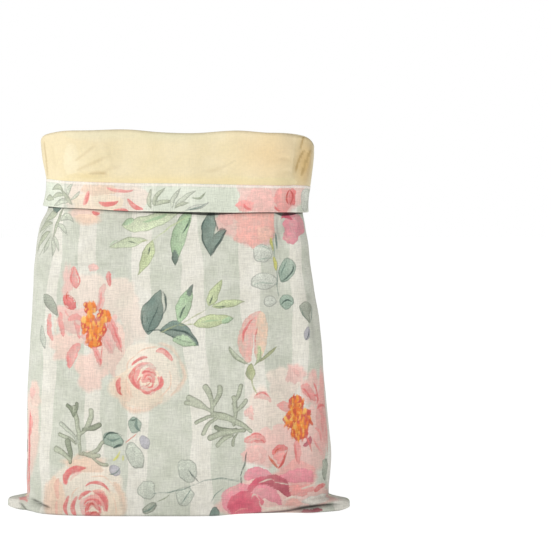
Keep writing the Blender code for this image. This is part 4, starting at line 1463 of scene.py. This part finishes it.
def stripe_field(x, y):
    """How far inside a cream stripe each point is, in art units."""
    field = np.full(x.shape, -FIELD_RANGE / 2.0)
    for i, stripe in enumerate(STRIPES):
        part = (y - STRIPE_HIGH_Y) / (STRIPE_LOW_Y - STRIPE_HIGH_Y)
        centre = stripe.high_x + (stripe.low_x - stripe.high_x) * np.clip(part, *STRIPE_ENDS)
        for size, length, shift in STRIPE_SWAY:
            centre = centre + size * np.sin(y / length + shift * i)
        size, length, shift = STRIPE_SWELL
        half = stripe.half_width + size * np.sin(y / length + shift * i)
        field = np.maximum(field, half - np.abs(x - centre))
    return field


def paint_hem(sheet, zone, flat_x, layer):
    """A painted highlight on the hem's top edge, and its stitches, just below the sewn line."""
    sewn = sheet.skin.rim("sewn", sheet.fractions)
    in_band = np.nonzero(zone == "band")[0]
    below = (sewn[None, :] - np.array(sheet.down)).ravel()[in_band]
    # Painted highlight along the hem's top edge
    layer.lay(in_band, HEM_HIGHLIGHT_HALF - np.abs(below - HEM_HIGHLIGHT_BELOW), linear("hem_highlight"))
    along = (flat_x[in_band] * ART_UNIT) % STITCH_PITCH - STITCH_PITCH / 2.0
    stitch = np.minimum(
        STITCH_HALF - np.abs(below - STITCH_BELOW), STITCH_SHARE * STITCH_PITCH - np.abs(along)
    )
    layer.lay(in_band, stitch, linear("thread"))


def cuff_shade(sheet, rows, zone):
    """How far above the lower edge of the painted shade under the cuff each point of the wall lies."""
    mouth = sheet.skin.rim("mouth", sheet.fractions)[None, :] - np.array(sheet.down)
    places = [row.x for row in BAND_SHADES]
    depth = np.interp(rows[..., 0], places, [row.depth for row in BAND_SHADES])
    return np.where(zone == "wall", (depth - mouth).ravel(), -FIELD_RANGE)


def soft_shading(rows, zone, side):
    """Painted shade of the wall's creases and foot, and painted light on the hem band."""
    wall = zone == "wall"
    shading = np.ones(zone.shape)
    if side == "front":
        # Painted shade in the deep creases
        dark = crease_rise(SHADE_LINES, rows[..., 0], rows[..., 2]).ravel()
        shading = np.where(wall, 1.0 - np.clip(dark, 0.0, SHADE_MOST), 1.0)
    height = rows[..., 2].ravel()
    # Painted shade darker towards the foot, and a painted contact shadow along the bottom edge
    foot = FOOT_SHADE * np.exp(-height / FOOT_FADE)
    foot += EDGE_SHADE * np.exp(-((height / EDGE_HALF) ** 2))
    shading[wall] *= 1.0 - foot[wall]
    # Painted light on the hem band
    shading[zone == "band"] = BAND_PAINTED_LIGHT
    return shading


def paint_outer(sheet, side):
    """Artwork places, stripes and paint layers of an outer panel, point by point."""
    rows = np.array(sheet.rows)
    x = np.array([(across_cloth(row, side) - ART_LEFT) / ART_UNIT for row in rows])
    y = (ART_TOP - np.array(sheet.down)) / ART_UNIT
    y = y - ART_SINK * smooth_steps((y - ART_SINK_FROM) / ART_SINK_OVER)
    zone = np.repeat(np.array(sheet.zone), rows.shape[1])
    flat_x = x.ravel()
    flat_y = y.ravel()
    layers = {name: Layer(len(flat_x)) for name in ("wash", "body", "stroke")}
    for shift_x, shift_y in FRONT_REPEATS if side == "front" else BACK_REPEATS:
        wall = Artwork(flat_x + shift_x, flat_y + shift_y, layers, zone != "band")
        wall.paint(FRONT_PRINT if side == "front" else BACK_PRINT)
    Artwork(flat_x, flat_y, layers, zone == "band").paint(BAND_PRINT)
    paint_hem(sheet, zone, flat_x, layers["stroke"])
    # Painted shade under the cuff, painted shade in creases and at the foot, and painted light on the
    # band
    shade = cuff_shade(sheet, rows, zone)
    shading = soft_shading(rows, zone, side)
    return flat_x, flat_y, stripe_field(flat_x, flat_y), shade, shading, layers


def make_sheet(name, sheet, material, smooth_uv):
    """Mesh object of a sheet's rows, with its place on the flat cloth as UV."""
    rows = np.array(sheet.rows)
    count_down, count_across = rows.shape[:2]
    index = np.arange(count_down * count_across).reshape(count_down, count_across)
    corners = [index[:-1, :-1], index[:-1, 1:], index[1:, 1:], index[1:, :-1]]
    if sheet.skin.side == "back":
        corners = corners[::-1]
    faces = np.stack(corners, axis=-1).reshape(-1, 4)
    mesh = bpy.data.meshes.new(name)
    mesh.vertices.add(rows.shape[0] * rows.shape[1])
    mesh.vertices.foreach_set("co", (rows * MM).astype(np.float32).ravel())
    mesh.loops.add(faces.size)
    mesh.loops.foreach_set("vertex_index", faces.ravel().astype(np.int32))
    mesh.polygons.add(len(faces))
    mesh.polygons.foreach_set("loop_start", np.arange(0, faces.size, 4, dtype=np.int32))
    mesh.update(calc_edges=True)
    mesh.validate()
    flat = mesh.uv_layers.new(name="cloth")
    flat.data.foreach_set("uv", smooth_uv[faces.ravel()].astype(np.float32).ravel())
    mesh.materials.append(material)
    mesh.shade_smooth()
    sheet_object = bpy.data.objects.new(name, mesh)
    bpy.context.scene.collection.objects.link(sheet_object)
    return sheet_object


def store_layer(mesh, name, layer):
    """Keep a paint layer on the mesh: its colour, and its field in the fourth channel."""
    values = np.empty((len(layer.field), 4), np.float32)
    values[:, :3] = layer.colour
    values[:, 3] = np.clip(layer.field / FIELD_RANGE + 0.5, 0.0, 1.0)
    attribute = mesh.attributes.new(name, "FLOAT_COLOR", "POINT")
    attribute.data.foreach_set("color", values.ravel())


def store_value(mesh, name, values):
    attribute = mesh.attributes.new(name, "FLOAT", "POINT")
    attribute.data.foreach_set("value", values.astype(np.float32).ravel())


class Nodes:
    """Short ways to add the nodes of one material."""

    def __init__(self, name):
        self.material = bpy.data.materials.new(name)
        self.material.use_nodes = True
        self.tree = self.material.node_tree
        self.shader = self.tree.nodes["Principled BSDF"]

    def add(self, kind, **settings):
        """A node of one kind, with its own settings."""
        node = self.tree.nodes.new("ShaderNode" + kind)
        for name, value in settings.items():
            setattr(node, name, value)
        return node

    def feed(self, socket, value):
        """Link a socket to another one, or set its value."""
        if hasattr(value, "links"):
            self.tree.links.new(value, socket)
        else:
            socket.default_value = value

    def maths(self, operation, first, second):
        node = self.add("Math", operation=operation)
        self.feed(node.inputs[0], first)
        self.feed(node.inputs[1], second)
        return node.outputs[0]

    def plus(self, first, second):
        return self.maths("ADD", first, second)

    def minus(self, first, second):
        return self.maths("SUBTRACT", first, second)

    def times(self, first, second):
        return self.maths("MULTIPLY", first, second)

    def ramp(self, value, low, high, to_low=0.0, to_high=1.0):
        """Smooth change from one value to another, between two levels of the input."""
        node = self.add("MapRange", interpolation_type="SMOOTHSTEP")
        for i, level in enumerate((value, low, high, to_low, to_high)):
            self.feed(node.inputs[i], level)
        return node.outputs["Result"]

    def mix(self, factor, first, second, blend="MIX"):
        node = self.add("Mix", data_type="RGBA", blend_type=blend)
        for i, value in ((0, factor), (6, first), (7, second)):
            self.feed(node.inputs[i], value)
        return node.outputs[2]

    def shaded(self, colour, factor):
        """A colour made lighter or darker by a factor."""
        return self.mix(1.0, colour, factor, "MULTIPLY")

    def cloth_place(self, scale_x, scale_y):
        """Place on the flat cloth in millimetres, scaled in each direction."""
        scale = self.add("Mapping")
        scale.inputs["Scale"].default_value = (MM_PER_METRE * scale_x, MM_PER_METRE * scale_y, 1.0)
        self.feed(scale.inputs["Vector"], self.add("UVMap", uv_map="cloth").outputs["UV"])
        return scale.outputs["Vector"]

    def noise(self, place, scale, detail=2.0, roughness=0.6):
        node = self.add("TexNoise")
        node.inputs["Scale"].default_value = scale
        node.inputs["Detail"].default_value = detail
        node.inputs["Roughness"].default_value = roughness
        self.feed(node.inputs["Vector"], place)
        return node.outputs["Fac"]

    def threads(self, across, down, detail=2.0, roughness=0.6):
        """Uneven threads both ways: how often each kind changes across and down the cloth."""
        first = self.noise(self.cloth_place(*across), 1.0, detail, roughness)
        second = self.noise(self.cloth_place(*down), 1.0, detail, roughness)
        return self.plus(first, second)

    def ribs(self, place, direction):
        """Single threads in one direction."""
        node = self.add("TexWave", bands_direction=direction)
        node.inputs["Scale"].default_value = THREAD_SCALE
        self.feed(node.inputs["Vector"], place)
        return node.outputs["Fac"]

    def attribute(self, name, output="Fac"):
        return self.add("Attribute", attribute_name=name).outputs[output]

    def painted(self, name):
        """A paint layer's colour, and its field in art units from the fourth channel."""
        layer = self.add("Attribute", attribute_name=name)
        field = self.times(self.minus(layer.outputs["Alpha"], 0.5), FIELD_RANGE)
        return layer.outputs["Color"], field

    def finish(self, colour, height, bump_strength, bump_distance, **values):
        """Link the colour and the bump, and set the shader's other values."""
        bump = self.add("Bump")
        bump.inputs["Strength"].default_value = bump_strength
        bump.inputs["Distance"].default_value = bump_distance
        self.feed(bump.inputs["Height"], height)
        self.feed(self.shader.inputs["Normal"], bump.outputs["Normal"])
        self.feed(self.shader.inputs["Base Color"], colour)
        for name, value in values.items():
            self.feed(self.shader.inputs[name.replace("_", " ")], value)
        return self.material


def colour_of(tone):
    """Linear colour of a tone, for a colour socket."""
    return tuple(float(part) for part in linear(tone)) + (1.0,)


# Noises of the cloth: scale in waves per millimetre, detail and roughness
BLOOM = (0.05, 3.0, 0.55)
BLOTCH = (0.16, 3.0)
GRAIN = (0.42, 3.0)
SPECK = (0.75,)
WAX_CLOUD = (0.03, 4.0, 0.55)
WAX_FLECK = (0.35, 3.0)

# Threads: how often the two kinds change across and down the cloth, per millimetre, then
# detail and roughness where they aren't the usual ones, and how far they stand up
SLUBS = ((0.09, 1.1), (1.1, 0.07))
CLOSE_THREADS = ((0.3, 1.9), (1.9, 0.26), 1.0, 0.5)
WAX_SLUBS = ((0.1, 1.2), (1.2, 0.08))
SLUB_RELIEF = 1.4
WEAVE_RELIEF = 0.25

# How far the grain pushes the edges of stripes, washes, petals and strokes
RAGGED = 2.2
WASH_RAGGED = 1.6
BODY_RAGGED = 0.35
PETAL_RAGGED = 0.8
PETAL_DRIFT = 3.2
STROKE_RAGGED = 0.3

# Ramps of the print: two levels of the input, then what they turn into
CLOUDY = (0.3, 0.7)
STRIPE_EDGE = (-0.5, 0.7)
WASH_EDGE = (-1.8, 3.2, 0.0, 0.78)
WASH_BLOOM = (0.25, 0.6, 0.72, 1.0)
RED_IS_PETAL = (-0.3, -0.06, 1.0, 0.0)
GREEN_RIM = (-0.06, 0.03, 0.07, 0.4)
RIM_WIDTH = (0.1, 1.5, 1.0, 0.0)
BLOTCH_SHADE = (0.3, 0.7, 0.9, 1.08)
GREEN_DAPPLE = (-0.06, 0.03, 0.03, 0.16)
SPECK_DAPPLE = (0.34, 0.66, -1.0, 1.0)
PALE = (0.18, 0.42)
THIN = (0.36, 0.6, 0.4, 0.0)
BODY_EDGE = (-0.35, 0.4)
BODY_BLOOM = (0.3, 0.65, 0.76, 0.95)
STROKE_EDGE = (-0.45, 0.5, 0.0, 0.9)
STROKE_BLOTCH = (0.34, 0.56, 0.7, 1.0)
SLUB_SHADE = (0.72, 1.28, 0.87, 1.07)
WEAVE_SHADE = (0.4, 1.6, 0.975, 1.015)
CLOSE_SHADE = (0.75, 1.25, 0.94, 1.05)
# Ramps of the painted shade under the cuff: its dark line, and a faint fringe below it
CUFF_DEEP = (-0.3, 0.35, 0.0, 0.86)
CUFF_SOFT = (-4.0, 0.0, 0.0, 0.04)

# Ramps of the waxed cloth
FLECK_SHADE = (0.3, 0.7, 0.965, 1.02)
WAX_SLUB_SHADE = (0.72, 1.28, 0.965, 1.015)
WAX_ROUGHNESS = (0.3, 0.7, 0.5, 0.64)


def printed_material():
    """Cotton-linen with a soft print: stripes, washes, shapes, strokes, then the weave."""
    n = Nodes("printed_cotton_linen_look")
    even = n.cloth_place(1.0, 1.0)
    bloom = n.noise(even, *BLOOM)
    blotch = n.noise(even, *BLOTCH)
    grain = n.noise(even, *GRAIN)
    speck = n.noise(even, *SPECK)
    ragged = n.times(n.minus(grain, 0.5), RAGGED)
    # Stripes
    cream = n.ramp(n.plus(n.attribute("stripe"), ragged), *STRIPE_EDGE)
    cloudy = n.ramp(bloom, *CLOUDY)
    sage = n.mix(cloudy, colour_of("sage_low"), colour_of("sage_high"))
    light = n.mix(cloudy, colour_of("cream_low"), colour_of("cream_high"))
    colour = n.mix(cream, sage, light)
    # Washes: soft-edged and broken up like water on cloth
    wash, wash_field = n.painted("wash")
    wash_cover = n.ramp(n.plus(wash_field, n.times(ragged, WASH_RAGGED)), *WASH_EDGE)
    wash_cover = n.times(wash_cover, n.ramp(bloom, *WASH_BLOOM))
    colour = n.mix(wash_cover, colour, wash)
    # Shapes: clear edges a little darker than their middles; petals thin and patchy
    body, body_field = n.painted("body")
    parts = n.add("SeparateColor")
    n.feed(parts.inputs["Color"], body)
    greener = n.minus(parts.outputs["Green"], parts.outputs["Red"])
    petal = n.ramp(greener, *RED_IS_PETAL)
    spread = n.plus(BODY_RAGGED, n.times(petal, PETAL_RAGGED))
    drift = n.times(n.minus(blotch, 0.5), n.times(petal, PETAL_DRIFT))
    body_field = n.plus(n.plus(body_field, n.times(ragged, spread)), drift)
    green_rim = n.ramp(greener, *GREEN_RIM)
    rim = n.times(n.ramp(body_field, *RIM_WIDTH), green_rim)
    tone = n.shaded(body, n.minus(1.0, rim))
    tone = n.shaded(tone, n.ramp(blotch, *BLOTCH_SHADE))
    leafy = n.ramp(greener, *GREEN_DAPPLE)
    dapple = n.times(n.ramp(speck, *SPECK_DAPPLE), leafy)
    tone = n.shaded(tone, n.plus(1.0, dapple))
    pale = n.ramp(parts.outputs["Green"], *PALE)
    thin = n.times(n.times(n.ramp(blotch, *THIN), petal), pale)
    cover = n.times(n.ramp(body_field, *BODY_EDGE), n.ramp(bloom, *BODY_BLOOM))
    colour = n.mix(n.times(cover, n.minus(1.0, thin)), colour, tone)
    # Strokes
    stroke, stroke_field = n.painted("stroke")
    stroke_cover = n.ramp(n.plus(stroke_field, n.times(ragged, STROKE_RAGGED)), *STROKE_EDGE)
    stroke_cover = n.times(stroke_cover, n.ramp(blotch, *STROKE_BLOTCH))
    colour = n.mix(stroke_cover, colour, stroke)
    # Weave: thicker threads each way, and single threads close up
    slub = n.threads(*SLUBS)
    weave = n.plus(n.ribs(even, "X"), n.ribs(even, "Y"))
    close = n.threads(*CLOSE_THREADS)
    colour = n.shaded(colour, n.ramp(slub, *SLUB_SHADE))
    colour = n.shaded(colour, n.ramp(weave, *WEAVE_SHADE))
    colour = n.shaded(colour, n.ramp(close, *CLOSE_SHADE))
    # Painted shade close under the cuff, in the creases and at the foot, and painted light on the hem
    # band
    under = n.attribute("shade")
    deep = n.ramp(under, *CUFF_DEEP)
    soft = n.ramp(under, *CUFF_SOFT)
    shade = n.times(n.minus(1.0, n.maths("MAXIMUM", deep, soft)), n.attribute("shading"))
    return n.finish(
        n.shaded(colour, shade),
        n.plus(n.times(slub, SLUB_RELIEF), n.times(weave, WEAVE_RELIEF)),
        bump_strength=0.35,
        bump_distance=0.0004,
        Roughness=0.9,
        Specular_IOR_Level=0.25,
        Sheen_Weight=0.12,
        Sheen_Roughness=0.5,
    )


def waxed_material():
    """Pale yellow cotton under a thin coat of beeswax, mottled, with a soft gloss."""
    n = Nodes("waxed_lining_look")
    even = n.cloth_place(1.0, 1.0)
    cloud = n.noise(even, *WAX_CLOUD)
    fleck = n.noise(even, *WAX_FLECK)
    slub = n.threads(*WAX_SLUBS)
    colour = n.mix(n.ramp(cloud, *CLOUDY), colour_of("wax_low"), colour_of("wax_high"))
    # Print that shows through the wax, and painted shade along the creases and at the right end
    colour = n.mix(
        n.attribute("show_through", "Alpha"), colour, n.attribute("show_through", "Color")
    )
    colour = n.shaded(colour, n.ramp(fleck, *FLECK_SHADE))
    colour = n.shaded(colour, n.ramp(slub, *WAX_SLUB_SHADE))
    return n.finish(
        colour,
        slub,
        bump_strength=0.22,
        bump_distance=0.0003,
        Roughness=n.ramp(cloud, *WAX_ROUGHNESS),
        Specular_IOR_Level=0.4,
    )


def floor_material():
    """Plain pale floor, as bright as the surround."""
    n = Nodes("pale_floor")
    for name, value in FLOOR_LOOK.items():
        n.shader.inputs[name].default_value = value
    return n.material


# Faint print that shows through the wax, and painted shade at the lining's right end (the brown tint):
# centre, half sizes, strength and tone
Tint = namedtuple("Tint", "x z half_x half_z strength tone")
TINTS = table(
    Tint,
    (-68, 371, 60, 5, 0.25, "wax_mint"),
    (-6, 371, 40, 6, 0.3, "wax_green"),
    (0, 326, 150, 5, 0.55, "wax_yellow"),
    (-128, 350, 40, 30, 0.3, "wax_straw"),
    (92, 352, 32, 24, 0.5, "wax_apricot"),
    # Painted shade at the lining's right end
    (126, 344, 12, 26, 0.82, "wax_brown"),
    (-104, 348, 12, 20, 0.3, "wax_pale"),
    (-84, 331, 22, 4, 0.5, "wax_ochre"),
)


def store_tints(mesh, sheet):
    """Where the lining is tinted, and where painted shade darkens it along creases: a colour, and how
    much of it.
    """
    points = np.array(sheet.rows).reshape(-1, 3)
    values = np.zeros((len(points), 4), np.float32)
    values[:, :3] = linear("wax_plain")
    if sheet.skin.side == "front":
        for tint in TINTS:
            away = ((points[:, 0] - tint.x) / tint.half_x) ** 2
            away += ((points[:, 2] - tint.z) / tint.half_z) ** 2
            cover = tint.strength * np.exp(-away)
            stronger = cover > values[:, 3]
            values[stronger, :3] = linear(tint.tone)
            values[:, 3] = np.maximum(values[:, 3], cover)
        forward = smooth_steps(-points[:, 1] / TINT_FADE)
        values[:, 3] *= forward
        # Painted shade along the lining's creases
        wax = np.clip(crease_rise(WAX_SHADE_LINES, points[:, 0], points[:, 2]), 0.0, WAX_SHADE_MOST) * forward
        shown = wax > values[:, 3]
        values[shown, :3] = linear("wax_crease_shade")
        values[shown, 3] = wax[shown]
    attribute = mesh.attributes.new("show_through", "FLOAT_COLOR", "POINT")
    attribute.data.foreach_set("color", values.ravel())


# Floor, in metres, as bright as the surround where the camera sees it
FLOOR_REACH = 9.0
FLOOR_Z = -0.0002
FLOOR_LOOK = {
    "Base Color": (0.3, 0.3, 0.3, 1.0),
    "Emission Color": (1.0, 1.0, 1.0, 1.0),
    "Emission Strength": 0.88,
    "Roughness": 0.8,
    "Specular IOR Level": 0.1,
}

# Camera, in metres, looking a little down; its length is 2012 pixels to a width of 551
CAMERA_PLACE = (0.0965, -2.0, 0.330)
CAMERA_DROP = math.atan2(0.0975, 2.0)
CAMERA_LENGTH = 2012.0 / 551.0
SENSOR = 36.0

# An even surround, white to the camera and dimmer as a light; wide soft lamps from the
# front left, the front and the left; and a small one above the front. Metres.
SURROUND_LIGHT = 0.34
Lamp = namedtuple("Lamp", "name x y z spread strength")
LAMPS = (
    Lamp("key", -1.4, -0.92, 0.48, 14.0, 0.82),
    Lamp("fill", 0.1, -1.6, 0.45, 50.0, 0.38),
    Lamp("side", -1.5, 0.35, 0.35, 20.0, 0.75),
)
NEAR_PLACE = (0.06, -1.0, 0.72)
NEAR_TURN = (math.atan2(1.0, 0.42), 0.0, 0.04)
NEAR_SIZE = 0.5
NEAR_STRENGTH = 2.3

printed = printed_material()
waxed = waxed_material()
for side in ("front", "back"):
    skin = Skin(side)
    sheet = outer_sheet(skin)
    art_x, art_y, stripes, shade, shading, layers = paint_outer(sheet, side)
    flat = np.stack([art_x, -art_y], axis=1) * ART_UNIT * MM
    outer = make_sheet("printed_" + side, sheet, printed, flat)
    store_value(outer.data, "stripe", stripes)
    store_value(outer.data, "shade", shade)
    store_value(outer.data, "shading", shading)
    for name, layer in layers.items():
        store_layer(outer.data, name, layer)
    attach(outer, "root")
    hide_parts("outer_" + side)

    sheet = lining_sheet(skin)
    rows = np.array(sheet.rows)
    travel = np.array([across_cloth(row, side) for row in rows])
    lining_flat = np.stack([travel.ravel(), np.array(sheet.down).ravel()], axis=1) * MM
    lining = make_sheet("waxed_" + side, sheet, waxed, lining_flat)
    store_tints(lining.data, sheet)
    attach(lining, "root")
    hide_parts("lining_" + side)

scene = bpy.context.scene

# Floor
floor_mesh = bpy.data.meshes.new("floor")
floor_mesh.from_pydata(
    [(x * FLOOR_REACH, y * FLOOR_REACH, FLOOR_Z) for x, y in ((-1, -1), (1, -1), (1, 1), (-1, 1))],
    [],
    [(0, 1, 2, 3)],
)
floor_mesh.materials.append(floor_material())
floor = bpy.data.objects.new("floor", floor_mesh)
scene.collection.objects.link(floor)

# Camera
camera_data = bpy.data.cameras.new("camera")
camera_data.sensor_width = SENSOR
camera_data.lens = SENSOR * CAMERA_LENGTH
camera = bpy.data.objects.new("camera", camera_data)
camera.location = CAMERA_PLACE
camera.rotation_euler = (math.pi / 2 - CAMERA_DROP, 0.0, 0.0)
scene.collection.objects.link(camera)
scene.camera = camera

# Light
world = bpy.data.worlds.new("surround")
scene.world = world
world.use_nodes = True
background = world.node_tree.nodes["Background"]
background.inputs["Color"].default_value = (1.0, 1.0, 1.0, 1.0)
seen = world.node_tree.nodes.new("ShaderNodeLightPath")
strength = world.node_tree.nodes.new("ShaderNodeMapRange")
strength.inputs["To Min"].default_value = SURROUND_LIGHT
strength.inputs["To Max"].default_value = 1.0
world.node_tree.links.new(seen.outputs["Is Camera Ray"], strength.inputs["Value"])
world.node_tree.links.new(strength.outputs["Result"], background.inputs["Strength"])
for lamp in LAMPS:
    light = bpy.data.lights.new(lamp.name, "SUN")
    light.angle = math.radians(lamp.spread)
    light.energy = lamp.strength
    holder = bpy.data.objects.new(lamp.name, light)
    holder.location = (lamp.x, lamp.y, lamp.z)
    tilt = math.atan2(math.hypot(lamp.x, lamp.y), lamp.z)
    holder.rotation_euler = (tilt, 0.0, math.atan2(lamp.y, lamp.x) + math.pi / 2)
    scene.collection.objects.link(holder)
near_light = bpy.data.lights.new("near_lamp", "AREA")
near_light.size = NEAR_SIZE
near_light.energy = NEAR_STRENGTH
near_lamp = bpy.data.objects.new("near_lamp", near_light)
near_lamp.location = NEAR_PLACE
near_lamp.rotation_euler = NEAR_TURN
scene.collection.objects.link(near_lamp)

scene.view_settings.view_transform = "Standard"
